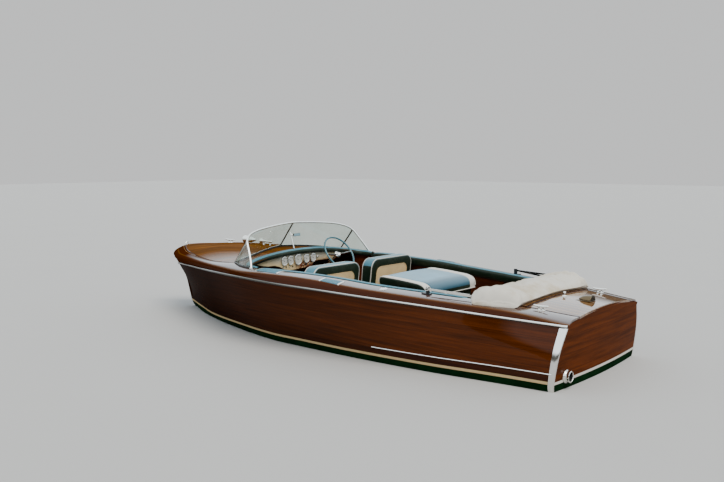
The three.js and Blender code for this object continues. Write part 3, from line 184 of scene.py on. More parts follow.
def through(points, v):
    """Smooth curve through a few points, read at v from 0 to their count less one."""
    last = len(points) - 1
    i = min(int(v), last - 1)
    t = v - i

    def tangent(k):
        a, b = max(k - 1, 0), min(k + 1, last)
        return (points[b] - points[a]) / (b - a)

    return (
        points[i] * (2 * t**3 - 3 * t**2 + 1)
        + tangent(i) * (t**3 - 2 * t**2 + t)
        + points[i + 1] * (3 * t**2 - 2 * t**3)
        + tangent(i + 1) * (t**3 - t**2)
    )


def side_point(share, v, inset=SIDE_INSET):
    """Point on a topside, v from 0 at the chine to 3 at the rail, in millimetres."""
    lower = line_point(CHINE_LINE, share, inset)
    lower.z += PLANK + GAP
    rest = [line_point(line, share, inset) for line in (STRIPE_LINE, SIDE_LINE, RAIL_LINE)]
    return through([lower, *rest], v)


def board_point(share, v):
    """Point on a covering board, v from 0 at the rail, 1 at the shoulder, to 2 at the inner edge."""
    rail = line_point(RAIL_LINE, share, 0)
    last = share_of(STATIONS[-2])
    if share > last:
        t = (share - last) / (1 - last)
        rail.y = rail.y * (1 - t) + CENTRE_CLEAR * t
    rail.z += GAP * 2
    shoulder = line_point(SHOULDER_LINE, share, 0)
    edge = line_point(EDGE_LINE, share, 0)
    corner = shoulder.copy()
    corner.z = min(shoulder.z + ROUND_RISE * 2, edge.z)
    if v <= 1:
        return rail.lerp(shoulder, v)
    t = v - 1
    return shoulder * (1 - t) ** 2 + corner * (2 * t * (1 - t)) + edge * t**2


def halved(before, low, high, count):
    """Narrows a range by halves: its last middle, and the end where before fails."""
    for _ in range(count):
        middle = (low + high) / 2
        if before(middle):
            low = middle
        else:
            high = middle
    return middle, high


def deck_z(x, y):
    """Height of the deck's top at a place, on the crowned deck or on the covering board, in millimetres."""
    edge_y = breadth(EDGE_LINE, x)
    edge_z = height(EDGE_LINE, x)
    side = abs(y)
    if side <= edge_y:
        return edge_z + (height(CROWN_LINE, x) - edge_z) * (1 - (side / max(edge_y, 1)) ** 2)
    share = share_of(x)
    for _ in range(DECK_ROUNDS):
        _, v = halved(lambda v, s=share: board_point(s, v).y > side, 1.0, 2.0, DECK_HALVINGS)
        found = board_point(share, v)
        share = min(max(share + (x - found.x) / (EDGE_FORE - EDGE_AFT), 0), 1)
    return found.z


def on_deck(x, y, lift=0.0):
    """Place on the deck, all in metres."""
    return Vector((x, y, deck_z(x / MM, y / MM) * MM + lift))


def side_spot(x, z):
    """Place on the port topside at x and z, in metres, and its outward direction."""
    share = (x - HULL_AFT) / HULL_RUN
    for _ in range(SIDE_ROUNDS):
        v, _ = halved(lambda v, s=share: side_point(s, v).z * MM < z, 0.0, 3.0, SIDE_HALVINGS)
        share = min(max(share + (x - side_point(share, v).x * MM) / SIDE_RUN, 0), 1)
    return side_point(share, v) * MM, surface_normal(side_point, share, v)


def surface_normal(place, u, v):
    """Outward direction of a port surface at u and v."""
    step = 0.004
    du = place(min(u + step, 1), v) - place(max(u - step, 0), v)
    dv = place(u, v + step) - place(u, v - step)
    normal = du.cross(dv).normalized()
    at = place(u, v)
    if normal.dot(at - Vector((min(at.x, HEART_X), 0, HEART_Z))) < 0:
        normal.negate()
    return normal


def through_all(points, count):
    """Count places along a smooth curve through the points."""
    vectors = [Vector(p) for p in points]
    last = len(vectors) - 1
    return [through(vectors, last * k / (count - 1)) for k in range(count)]


# Mesh helpers


def grid(rows, columns):
    bm = bmesh.new()
    bmesh.ops.create_grid(bm, x_segments=rows, y_segments=columns, size=0.5)
    return bm


def corner_of(vert, rows, columns):
    return round((vert.co.x + 0.5) * rows), round((vert.co.y + 0.5) * columns)


def mark_layer(bm):
    return bm.verts.layers.float_vector.get("plank") or bm.verts.layers.float_vector.new("plank")


def loft(rings, marks=None, closed=True, capped=True, bands=None):
    """Skin over rings of equal length. Marks are plank places, bands the material of each strip."""
    rows = len(rings) - 1
    columns = len(rings[0]) if closed else len(rings[0]) - 1
    bm = grid(rows, columns)
    layer = mark_layer(bm)
    if bands:
        for face in bm.faces:
            middle = face.calc_center_median()
            row = int((middle.x + 0.5) * rows)
            column = int((middle.y + 0.5) * columns)
            face.material_index = bands(row, column)
    for vert in bm.verts:
        r, c = corner_of(vert, rows, columns)
        c %= len(rings[0])
        vert.co = rings[r][c]
        if marks:
            vert[layer] = marks[r][c]
    bmesh.ops.remove_doubles(bm, verts=bm.verts, dist=1e-6)
    if closed and capped:
        open_edges = [e for e in bm.edges if e.is_boundary]
        bmesh.ops.holes_fill(bm, edges=open_edges, sides=0)
    bmesh.ops.recalc_face_normals(bm, faces=bm.faces)
    return bm


def sweep(path, section, up=None, closed=False, bands=None):
    """Section of (out, up) pairs, or one for each place, carried along a path."""
    path = [Vector(p) for p in path]
    count = len(path)
    rings = []
    side = None
    for i, place in enumerate(path):
        before = path[(i - 1) % count] if closed else path[max(i - 1, 0)]
        after = path[(i + 1) % count] if closed else path[min(i + 1, count - 1)]
        along = (after - before).normalized()
        if up is not None:
            out = along.cross(Vector(up)).normalized()
        elif side is None:
            out = along.orthogonal().normalized()
        else:
            out = (side - along * side.dot(along)).normalized()
        side = out
        top = out.cross(along).normalized()
        at = section(i) if callable(section) else section
        rings.append([place + out * a + top * b for a, b in at])
    if closed:
        rings.append(rings[0])
    return loft(rings, capped=not closed, bands=bands)


def round_section(radius, sides=12, squash=1.0):
    turns = [2 * math.pi * k / sides for k in range(sides)]
    return [(radius * math.cos(a), radius * squash * math.sin(a)) for a in turns]


def tube(path, radius, sides=12, up=None, closed=False):
    return sweep(path, round_section(radius, sides), up, closed)


def turned(profile, centre=(0, 0, 0), axis=(0, 0, 1), steps=28):
    """Turned shape from (radius, distance along the axis) pairs."""
    bm = bmesh.new()
    verts = [bm.verts.new((max(r, 0.0), 0, z)) for r, z in profile]
    edges = [bm.edges.new(pair) for pair in zip(verts, verts[1:])]
    bmesh.ops.spin(
        bm, geom=verts + edges, cent=(0, 0, 0), axis=(0, 0, 1), angle=2 * math.pi, steps=steps,
        use_merge=True, use_duplicate=False,
    )
    bmesh.ops.remove_doubles(bm, verts=bm.verts, dist=1e-6)
    bmesh.ops.recalc_face_normals(bm, faces=bm.faces)
    place(bm, centre, axis)
    return bm


def place(bm, centre, axis):
    """Moves a shape made at the origin to its centre, its own Z along the axis."""
    matrix = Vector(axis).normalized().to_track_quat("Z", "Y").to_matrix().to_4x4()
    matrix = Matrix.Translation(Vector(centre)) @ matrix
    bmesh.ops.transform(bm, matrix=matrix, verts=bm.verts)
    return bm


def block(low, high, radius=0.003, segments=2):
    """Box between two corners with rounded edges."""
    bm = bmesh.new()
    bmesh.ops.create_cube(bm, size=1.0)
    low, high = Vector(low), Vector(high)
    size = high - low
    for vert in bm.verts:
        vert.co = Vector(((low + high) / 2)[k] + vert.co[k] * size[k] for k in range(3))
    if radius:
        bmesh.ops.bevel(
            bm, geom=bm.edges, offset=radius, affect="EDGES", segments=segments, profile=0.5, material=-1,
        )
    return bm


def merged(parts):
    """One bmesh from several, which are used up."""
    whole = bmesh.new()
    mark_layer(whole)
    for part in parts:
        mesh = bpy.data.meshes.new("part")
        part.to_mesh(mesh)
        part.free()
        whole.from_mesh(mesh)
        bpy.data.meshes.remove(mesh)
    return whole


def moved(bm, shift):
    bmesh.ops.translate(bm, vec=shift, verts=bm.verts)
    return bm


def painted(bm, index):
    for face in bm.faces:
        face.material_index = index
    return bm


def to_side(bm, side):
    """The port shape, or its mirror image for the starboard side."""
    if side < 0:
        bmesh.ops.transform(bm, matrix=Matrix.Scale(-1, 4, (0, 1, 0)), verts=bm.verts)
        bmesh.ops.reverse_faces(bm, faces=bm.faces)
    return bm


def piece(name, bm, materials, body="root", slot=None, replaces=(), sharp=38):
    """Finished object from a bmesh, riding on a body."""
    mesh = bpy.data.meshes.new(name)
    bm.to_mesh(mesh)
    bm.free()
    for item in materials if isinstance(materials, (list, tuple)) else [materials]:
        mesh.materials.append(item)
    mesh.shade_smooth()
    mesh.set_sharp_from_angle(angle=math.radians(sharp))
    obj = bpy.data.objects.new(name, mesh)
    bpy.context.scene.collection.objects.link(obj)
    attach(obj, body)
    if replaces:
        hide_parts(*replaces)
    return obj


def finish_node(name, material, soft=0.0):
    """Gives a CAD node its finish, and rounds its sharp edges where a radius is given."""
    obj = NODES[name]
    if soft:
        edges = obj.modifiers.new("soft_edges", "BEVEL")
        edges.width = soft
        edges.segments = 2
        edges.limit_method = "ANGLE"
        edges.angle_limit = math.radians(40)
    if not obj.material_slots:
        obj.data.materials.append(material)
    for item in obj.material_slots:
        item.material = material
    return obj


# Materials

# Runs of the topsides' painted shade: toward the bow, just above the stripe, and across to the port side
SHADE_AND_COAT_RUN = (-1.5, 1.7)
LOW_PAINTED_SHADE = (0.162, 0.150)
PORT_SHADE_SIDE = (-0.1, 0.1)
STRIPE_TOP = (0.0918, 0.0922)
STRIPE_FOOT = (0.0662, 0.0666)
DECK_SIDE = (0.42, 0.72)
PIN_LINE_IN = 0.052
PIN_LINE_EDGE = (0.0016, 0.0026)
# Places across the covering board of its golden band, a painted sky reflection
REFLECTION_BAND_INNER, REFLECTION_BAND_OUTER = (0.180, 0.200), (0.228, 0.212)
BOARD_FORWARD = (1.5, 2.6)
BOARD_FLAT = (0.212, 0.175)
DIALS_HIGH, DIALS_WIDE = (0.755, 0.80), (0.62, 0.40)
WORN_PORT, WORN_STARBOARD, WORN_LOW = (0.16, 0.02), (-0.66, -0.50), (0.835, 0.795)
# Normal ramps for the top bars' painted shade on faces turned inboard or down
SHADED_FACING = (-0.2, -0.5)
THREADS = 3600.0
TAN_DOTS = 170.0


def linear(red, green, blue):
    """Linear colour from 0 to 255 screen values."""

    def one(value):
        c = value / 255
        return c / 12.92 if c <= 0.04045 else ((c + 0.055) / 1.055) ** 2.4

    return one(red), one(green), one(blue)


def colour_prop(name, description, screen):
    return FloatVectorProperty(
        name=name, description=description, subtype="COLOR", size=3, min=0, max=1, default=linear(*screen),
    )


class RunaboutColours(bpy.types.PropertyGroup):
    """Colours of the boat's finishes."""

    side_wood: colour_prop("Topsides", "Varnished mahogany of the topsides", (82, 36, 4))
    transom_wood: colour_prop("Transom", "Varnished mahogany of the transom", (88, 40, 6))
    board_wood: colour_prop("Covering boards", "Varnished mahogany round the decks", (68, 30, 6))
    deck_wood: colour_prop("Decks", "Golden planks of the decks", (110, 69, 22))
    seam: colour_prop("Deck seams", "Pale lines between the deck planks", (206, 170, 112))
    lining_wood: colour_prop("Linings", "Dark wood inside the cockpit", (92, 36, 8))
    floor_wood: colour_prop("Floor", "Worn floor boards", (110, 84, 58))
    bottom: colour_prop("Bottom paint", "Dark green paint of the bottom", (6, 30, 12))
    stripe_side: colour_prop("Side stripe", "Cream stripe along the waterline", (212, 184, 136))
    stripe_stern: colour_prop("Stern stripe", "White stripe on the transom", (226, 221, 210))
    chrome: colour_prop("Chrome", "Bright fittings", (228, 226, 220))
    green: colour_prop("Green vinyl", "Dark green upholstery", (17, 36, 20))
    blue: colour_prop("Blue vinyl", "Blue upholstery", (96, 148, 172))
    roll_blue: colour_prop("Roll blue", "Deeper blue of the rolls and seat tops", (66, 128, 146))
    white: colour_prop("White vinyl", "White stripes and piping", (226, 222, 210))
    tan: colour_prop("Tan", "Tan panels", (246, 214, 158))
    canvas: colour_prop("Canvas", "Boot over the folded top", (226, 221, 208))
    rim: colour_prop("Wheel rim", "Steering wheel's rim", (62, 116, 128))
    floor_stage: colour_prop("Stage", "Pale floor under the boat", (196, 195, 192))


class RunaboutSizes(bpy.types.PropertyGroup):
    """Sizes of the trim."""

    plank_width: FloatProperty(
        name="Deck plank", description="Width of a deck plank", default=0.078, min=0.03, unit="LENGTH")
    seam_width: FloatProperty(
        name="Deck seam", description="Width of a deck seam", default=0.0045, min=0.001, unit="LENGTH")
    strake_width: FloatProperty(
        name="Side plank", description="Width of a topside plank", default=0.125, min=0.05, unit="LENGTH")
    piping_radius: FloatProperty(
        name="Piping", description="Radius of the upholstery's piping", default=0.006, min=0.002,
        unit="LENGTH")
    dial_ticks: IntProperty(name="Dial marks", description="Marks round each dial", default=11, min=5)


def colours():
    return bpy.context.scene.runabout_colours


def sizes():
    return bpy.context.scene.runabout_sizes


class Nodes:
    """Short calls for making a node tree."""

    def __init__(self, tree):
        self.tree = tree

    def add(self, kind, inputs=None, **values):
        node = self.tree.nodes.new(kind)
        for key, value in values.items():
            setattr(node, key, value)
        for key, value in (inputs or {}).items():
            self.put(node.inputs[key], value)
        return node

    def put(self, socket, value):
        if isinstance(value, bpy.types.NodeSocket):
            self.tree.links.new(value, socket)
        elif hasattr(value, "__len__") and socket.type == "RGBA" and len(value) == 3:
            socket.default_value = (*value, 1)
        else:
            socket.default_value = value

    def math(self, operation, a, b=0.0):
        return self.add("ShaderNodeMath", {0: a, 1: b}, operation=operation).outputs[0]

    def times(self, a, b):
        return self.math("MULTIPLY", a, b)

    def plus(self, a, b):
        return self.math("ADD", a, b)

    def minus(self, a, b):
        return self.math("SUBTRACT", a, b)

    def mix(self, factor, a, b):
        node = self.add("ShaderNodeMix", data_type="RGBA")
        self.put(node.inputs[0], factor)
        self.put(node.inputs[6], a)
        self.put(node.inputs[7], b)
        return node.outputs[2]

    def noise(self, vector, scale, detail=4.0, rough=0.55):
        inputs = {"Vector": vector, "Scale": scale, "Detail": detail, "Roughness": rough}
        return self.add("ShaderNodeTexNoise", inputs).outputs[0]

    def ramp(self, value, low, high):
        node = self.add("ShaderNodeMapRange", {0: value, 1: low, 2: high, 3: 0.0, 4: 1.0}, clamp=True)
        return node.outputs[0]

    def split(self, vector):
        return self.add("ShaderNodeSeparateXYZ", {0: vector}).outputs

    def place(self):
        return self.add("ShaderNodeTexCoord").outputs["Object"]

    def plank(self):
        return self.add("ShaderNodeAttribute", attribute_name="plank").outputs["Vector"]


def group(name, ins, outs, build):
    """Shader node group with named inputs and outputs, built once."""
    tree = bpy.data.node_groups.new(name, "ShaderNodeTree")
    for label, kind, default in ins:
        socket = tree.interface.new_socket(name=label, in_out="INPUT", socket_type=kind)
        if default is not None:
            socket.default_value = default
    for label, kind in outs:
        tree.interface.new_socket(name=label, in_out="OUTPUT", socket_type=kind)
    start = tree.nodes.new("NodeGroupInput")
    end = tree.nodes.new("NodeGroupOutput")
    maker = Nodes(tree)
    for label, value in build(maker, start.outputs).items():
        maker.put(end.inputs[label], value)
    return tree


def grain(n, inp):
    """Long streaks and pores of wood, with one tone for each plank and the seams between planks."""
    along, across, depth = n.split(inp["Place"])
    ratio = n.math("DIVIDE", across, inp["Plank"])
    index = n.math("FLOOR", ratio)
    tone = n.add("ShaderNodeTexWhiteNoise", {"W": index}, noise_dimensions="1D").outputs["Value"]
    shifted = n.plus(along, n.times(tone, 7.3))

    def stretched(long, fine):
        parts = {0: n.times(shifted, long), 1: n.times(across, fine), 2: n.times(depth, fine)}
        return n.add("ShaderNodeCombineXYZ", parts).outputs[0]

    streak = n.noise(stretched(0.9, 16.0), 1.6, 6.0, 0.62)
    pore = n.noise(stretched(9.0, 260.0), 1.0, 3.0, 0.6)
    share = n.math("FRACT", ratio)
    edge = n.times(n.math("MINIMUM", share, n.minus(1.0, share)), inp["Plank"])
    seam = n.minus(1.0, n.ramp(edge, n.times(inp["Seam"], 0.4), n.times(inp["Seam"], 0.6)))
    wave = n.ramp(streak, 0.34, 0.68)
    colour = n.mix(wave, inp["Dark"], inp["Light"])
    pored = n.mix(n.times(n.ramp(pore, 0.56, 0.72), 0.4), colour, inp["Dark"])
    value = n.plus(n.minus(1.0, n.times(inp["Tone"], 0.5)), n.times(tone, inp["Tone"]))
    toned = n.add("ShaderNodeHueSaturation", {"Value": value, "Color": pored}).outputs[0]
    height = n.minus(n.times(pore, 0.25), seam)
    return {"Color": toned, "Seam": seam, "Height": height}


def vinyl_grain(n, inp):
    """Fine leather-like cells and soft puckers of upholstery."""
    cells = n.add("ShaderNodeTexVoronoi", {"Vector": inp["Place"], "Scale": 420.0}).outputs["Distance"]
    soft = n.noise(inp["Place"], 9.0, 3.0, 0.5)
    patch = n.noise(inp["Place"], 3.2, 4.0, 0.6)
    height = n.plus(n.times(cells, 0.12), soft)
    return {"Height": height, "Tone": n.ramp(patch, 0.3, 0.7)}


def weathering(n, inp):
    """Dust and fine smears on a smooth surface."""
    broad = n.noise(inp["Place"], 2.3, 5.0, 0.6)
    fine = n.noise(inp["Place"], 38.0, 4.0, 0.65)
    mask = n.times(n.ramp(broad, 0.42, 0.72), n.ramp(fine, 0.35, 0.75))
    return {"Mask": n.times(mask, inp["Amount"]), "Broad": broad}


def make_groups():
    vector, number, colour = "NodeSocketVector", "NodeSocketFloat", "NodeSocketColor"
    group("Wood grain", [
        ("Place", vector, None), ("Dark", colour, (0.1, 0.03, 0.01, 1)),
        ("Light", colour, (0.3, 0.1, 0.03, 1)), ("Plank", number, 0.1), ("Seam", number, 0.004),
        ("Tone", number, 0.25),
    ], [("Color", colour), ("Seam", number), ("Height", number)], grain)
    group("Vinyl grain", [("Place", vector, None)], [("Height", number), ("Tone", number)], vinyl_grain)
    group("Weathering", [("Place", vector, None), ("Amount", number, 0.3)],
          [("Mask", number), ("Broad", number)], weathering)


def use_group(n, name, **inputs):
    node = n.add("ShaderNodeGroup", node_tree=bpy.data.node_groups[name])
    for key, value in inputs.items():
        n.put(node.inputs[key], value)
    return node.outputs


def new_material(name, **shader_values):
    """Material with its Principled shader's constants set, and the maker of its nodes."""
    mat = bpy.data.materials.new(name)
    mat.use_nodes = True
    n = Nodes(mat.node_tree)
    shader = mat.node_tree.nodes["Principled BSDF"]
    for key, value in shader_values.items():
        n.put(shader.inputs[key.replace("_", " ")], value)
    return mat, n, shader


def bump(n, shader, height, strength, distance):
    node = n.add("ShaderNodeBump", {"Height": height, "Strength": strength, "Distance": distance})
    n.put(shader.inputs["Normal"], node.outputs[0])


def shade(colour, factor):
    return tuple(min(c * factor, 1.0) for c in colour)


def varnished(name, base, plank, seam, seam_colour, tone, contrast=0.55, coat=0.5, coat_ior=1.5):
    """Varnished planks: wood grain under a clear coat, with seams along the planks."""
    mat, n, shader = new_material(name, Roughness=0.3, Coat_Weight=coat, Coat_Roughness=0.05,
                                  Coat_IOR=coat_ior, Specular_IOR_Level=0.0)
    out = use_group(n, "Wood grain", Place=n.plank(), Dark=shade(base, 1 - contrast),
                    Light=shade(base, 1 + contrast), Plank=plank, Seam=seam, Tone=tone)
    colour = n.mix(out["Seam"], out["Color"], seam_colour)
    wear = use_group(n, "Weathering", Place=n.place(), Amount=0.25)
    n.put(shader.inputs["Base Color"], colour)
    n.put(shader.inputs["Roughness"], n.plus(0.24, n.times(wear["Mask"], 0.5)))
    bump(n, shader, out["Height"], 0.25, 0.0012)
    return mat, n, shader, colour


def hull_paint(name, base, plank, stripe, forward_shade, gloss):
    """Varnished side over a cream stripe and the green bottom paint, split at the waterline's stripe, with
    painted shade toward the bow and just above the stripe.
    """
    mat, n, shader, colour = varnished(name, base, plank, 0.0022, shade(base, 0.25), 0.22, 0.4)
    x, y, z = n.split(n.place())
    # Painted shade: the side darkens toward the bow, more on port, and just above the stripe; the same run
    # also thins the coat toward the bow
    toward_bow = n.ramp(x, *SHADE_AND_COAT_RUN)
    if forward_shade:
        low = n.times(n.ramp(z, *LOW_PAINTED_SHADE), 0.6)
        port_shade_share = n.plus(0.55, n.times(n.ramp(y, *PORT_SHADE_SIDE), 0.45))
        forward = n.times(n.times(toward_bow, forward_shade), port_shade_share)
        dark = n.math("MAXIMUM", forward, low)
        colour = n.mix(dark, colour, shade(base, 0.12))
    patch = n.noise(n.place(), 5.0, 5.0, 0.6)
    cream = n.mix(n.times(patch, 0.35), stripe, shade(stripe, 0.72))
    green = n.mix(n.ramp(patch, 0.35, 0.7), colours().bottom, shade(colours().bottom, 1.9))
    above = n.ramp(z, *STRIPE_TOP)
    below = n.ramp(z, *STRIPE_FOOT)
    painted_part = n.mix(below, green, cream)
    n.put(shader.inputs["Base Color"], n.mix(above, painted_part, colour))
    varnish = n.times(n.minus(1.15, toward_bow), gloss)
    n.put(shader.inputs["Coat Weight"], n.plus(n.times(above, varnish), 0.02))
    return mat


def deck_planks(name, seam, coat, edge_coat, coat_ior=1.5):
    """Golden deck planks, with the varnish's gloss in the middle and near the sides told apart."""
    col, size = colours(), sizes()
    mat, n, shader, _ = varnished(name, col.deck_wood, size.plank_width, size.seam_width, seam, 0.3, 0.42,
                                  coat_ior=coat_ior)
    side = n.ramp(n.math("ABSOLUTE", n.split(n.place())[1]), *DECK_SIDE)
    n.put(shader.inputs["Coat Weight"], n.plus(coat, n.times(side, edge_coat - coat)))
    return mat


def board_wood():
    """Red-brown covering boards with a pale pin line near their inner edge and a narrow golden band that is a
    painted sky reflection.
    """
    col = colours()
    mat, n, shader, colour = varnished("board_wood", col.board_wood, 0.9, 0.0, col.board_wood, 0.1, 0.45,
                                       coat_ior=2.5)
    v = n.split(n.plank())[2]
    offset = n.math("ABSOLUTE", n.minus(v, PIN_LINE_IN))
    line = n.minus(1.0, n.ramp(offset, *PIN_LINE_EDGE))
    # Painted reflection: a narrow golden band across the board stands in for the sky reflected in its varnish
    wear_and_painted_reflection = n.times(n.ramp(v, *REFLECTION_BAND_INNER), n.ramp(v, *REFLECTION_BAND_OUTER))
    painted_reflection_band = n.mix(n.times(wear_and_painted_reflection, 0.6), colour, col.deck_wood)
    n.put(shader.inputs["Base Color"], n.mix(line, painted_reflection_band, col.seam))
    forward = n.ramp(n.split(n.place())[0], *BOARD_FORWARD)
    flat = n.plus(0.04, n.times(n.ramp(v, *BOARD_FLAT), 0.96))
    coat = n.times(flat, n.minus(1.0, forward))
    n.put(shader.inputs["Coat Weight"], coat)
    return mat


def plain_wood(name, base, plank, gloss=0.35, coat=0.1):
    """Satin wood inside the cockpit, on object coordinates."""
    mat, n, shader = new_material(name, Roughness=gloss, Coat_Weight=coat, Coat_Roughness=0.15,
                                  Specular_IOR_Level=0.15)
    out = use_group(n, "Wood grain", Place=n.place(), Dark=shade(base, 0.5), Light=shade(base, 1.4),
                    Plank=plank, Seam=0.004, Tone=0.35)
    wear = use_group(n, "Weathering", Place=n.place(), Amount=0.5)
    dusty = n.mix(n.times(wear["Mask"], 0.2), out["Color"], linear(150, 132, 108))
    n.put(shader.inputs["Base Color"], n.mix(out["Seam"], dusty, shade(base, 0.2)))
    bump(n, shader, out["Height"], 0.35, 0.0015)
    return mat


def bright_metal(name, base, rough=0.09, wear_amount=0.35):
    """Plated or polished metal with faint smears and pits."""
    mat, n, shader = new_material(name, Metallic=1.0, Roughness=rough)
    wear = use_group(n, "Weathering", Place=n.place(), Amount=wear_amount)
    n.put(shader.inputs["Base Color"], n.mix(wear["Mask"], base, shade(base, 0.62)))
    n.put(shader.inputs["Roughness"], n.plus(rough, n.times(wear["Mask"], 0.35)))
    bump(n, shader, wear["Broad"], 0.04, 0.001)
    return mat


def painted_shade_along(mat, low, high, colour, amount):
    """The same finish, turned toward a darker colour between two places along the boat: painted shade."""
    n = Nodes(mat.node_tree)
    base = mat.node_tree.nodes["Principled BSDF"].inputs["Base Color"]
    plain = base.links[0].from_socket
    share = n.times(n.ramp(n.split(n.place())[0], low, high), amount)
    n.put(base, n.mix(share, plain, colour))
    return mat


def bar_metal_painted_shade():
    """Polished bars of the top, with painted shade on their inboard and under faces."""
    mat, n, shader = new_material("bar_metal_painted_shade", Metallic=1.0, Roughness=0.14)
    facing = n.split(n.add("ShaderNodeTexCoord").outputs["Normal"])
    outboard = n.times(n.math("SIGN", n.split(n.place())[1]), facing[1])
    # Painted shade: faces turned inboard or down go dark, the rest stays chrome
    dark = n.math("MAXIMUM", n.ramp(outboard, *SHADED_FACING), n.ramp(facing[2], *SHADED_FACING))
    n.put(shader.inputs["Base Color"], n.mix(dark, colours().chrome, linear(44, 44, 42)))
    bump(n, shader, n.noise(n.place(), 40.0, 3.0, 0.5), 0.05, 0.0008)
    return mat


def vinyl(name, base, wear_and_painted_reflection=0.25, level=0.5):
    """Upholstery vinyl with a leather grain, puckers and faded patches."""
    mat, n, shader = new_material(name, Roughness=0.42, Coat_Weight=0.06, Coat_Roughness=0.3,
                                  Sheen_Weight=0.04, Specular_IOR_Level=level)
    out = use_group(n, "Vinyl grain", Place=n.place())
    wear = use_group(n, "Weathering", Place=n.place(), Amount=wear_and_painted_reflection)
    toned = n.mix(out["Tone"], shade(base, 0.82), shade(base, 1.15))
    n.put(shader.inputs["Base Color"], n.mix(wear["Mask"], toned, linear(205, 200, 184)))
    n.put(shader.inputs["Roughness"], n.plus(0.36, n.times(wear["Mask"], 0.3)))
    bump(n, shader, out["Height"], 0.45, 0.0016)
    return mat


def speckled_tan():
    """Tan vinyl panel, finely perforated and stained with orange specks."""
    base = colours().tan
    mat, n, shader = new_material("tan_vinyl", Roughness=0.55, Specular_IOR_Level=0.2)
    spot = n.add("ShaderNodeTexVoronoi", {"Vector": n.place(), "Scale": TAN_DOTS}).outputs["Distance"]
    hole = n.minus(1.0, n.ramp(spot, 0.18, 0.3))
    patch = n.noise(n.place(), 6.0, 5.0, 0.65)
    fleck = n.times(n.ramp(n.noise(n.place(), 60.0, 3.0, 0.6), 0.6, 0.7), n.ramp(patch, 0.5, 0.62))
    toned = n.mix(n.ramp(patch, 0.3, 0.75), shade(base, 1.08), shade(base, 0.86))
    stained = n.mix(n.times(fleck, 0.6), toned, linear(205, 140, 50))
    n.put(shader.inputs["Base Color"], n.mix(n.times(hole, 0.4), stained, shade(base, 0.45)))
    bump(n, shader, n.minus(n.times(patch, 0.3), hole), 0.3, 0.0008)
    return mat


def dash_face():
    """Painted dash: tan at the ends, greyer round the gauges, worn to red-brown along its lower edge."""
    base = linear(248, 218, 162)
    mat, n, shader = new_material("dash_panel", Roughness=0.42, Coat_Weight=0.1)
    _, y, z = n.split(n.place())
    patch = n.noise(n.place(), 7.0, 6.0, 0.65)
    blotch = n.noise(n.place(), 34.0, 5.0, 0.7)
    near_dials = n.times(n.ramp(z, *DIALS_HIGH), n.ramp(n.math("ABSOLUTE", y), *DIALS_WIDE))
    toned = n.mix(n.ramp(patch, 0.3, 0.75), shade(base, 1.08), shade(base, 0.84))
    greyed = n.mix(n.times(near_dials, 0.75), toned, linear(188, 182, 166))
    across = n.times(n.ramp(y, *WORN_PORT), n.ramp(y, *WORN_STARBOARD))
    low = n.ramp(n.plus(z, n.times(patch, 0.09)), *WORN_LOW)
    wear_and_painted_reflection = n.times(n.times(across, low), n.ramp(blotch, 0.34, 0.50))
    browned = n.mix(n.ramp(blotch, 0.5, 0.66), linear(120, 52, 14), linear(52, 30, 16))
    n.put(shader.inputs["Base Color"], n.mix(wear_and_painted_reflection, greyed, browned))
    n.put(shader.inputs["Roughness"], n.plus(0.34, n.times(blotch, 0.25)))
    bump(n, shader, blotch, 0.25, 0.0012)
    return mat


def canvas_cloth():
    """Off-white canvas with a weave, beige stains and soft creases."""
    base = colours().canvas
    mat, n, shader = new_material("boot_canvas", Roughness=0.86, Sheen_Weight=0.18)
    where = n.place()
    x, y, z = n.split(where)
    warp = n.math("SINE", n.times(n.plus(x, n.times(z, 0.6)), THREADS))
    weft = n.math("SINE", n.times(n.plus(y, n.times(z, 0.6)), THREADS))
    weave = n.times(warp, weft)
    stain = n.ramp(n.noise(where, 3.4, 6.0, 0.62), 0.46, 0.62)
    dirt = n.ramp(n.noise(where, 15.0, 5.0, 0.65), 0.55, 0.8)
    toned = n.mix(n.times(stain, 0.65), base, linear(196, 178, 140))
    n.put(shader.inputs["Base Color"], n.mix(n.times(dirt, 0.28), toned, linear(176, 168, 150)))
    crease = n.noise(where, 26.0, 3.0, 0.5)
    bump(n, shader, n.plus(n.times(weave, 0.1), crease), 0.5, 0.002)
    return mat


def soft_paint(name, base, rough=0.35, metallic=0.0):
    """Painted or moulded surface with slight tone change and smears."""
    mat, n, shader = new_material(name, Roughness=rough, Metallic=metallic, Coat_Weight=0.2)
    wear = use_group(n, "Weathering", Place=n.place(), Amount=0.4)
    toned = n.mix(n.ramp(wear["Broad"], 0.3, 0.7), shade(base, 0.85), shade(base, 1.12))
    n.put(shader.inputs["Base Color"], n.mix(n.times(wear["Mask"], 0.4), toned, shade(base, 1.8)))
    n.put(shader.inputs["Roughness"], n.plus(rough, n.times(wear["Mask"], 0.25)))
    bump(n, shader, n.noise(n.place(), 180.0, 3.0, 0.6), 0.08, 0.0006)
    return mat


def shield_glass():
    """Clear, faintly green window glass."""
    mat, n, shader = new_material("shield_glass", Roughness=0.02, Transmission_Weight=1.0, IOR=1.45)
    smear = n.ramp(n.noise(n.place(), 4.0, 4.0, 0.6), 0.3, 0.8)
    n.put(shader.inputs["Base Color"], n.mix(smear, linear(232, 240, 234), linear(214, 226, 216)))
    return mat


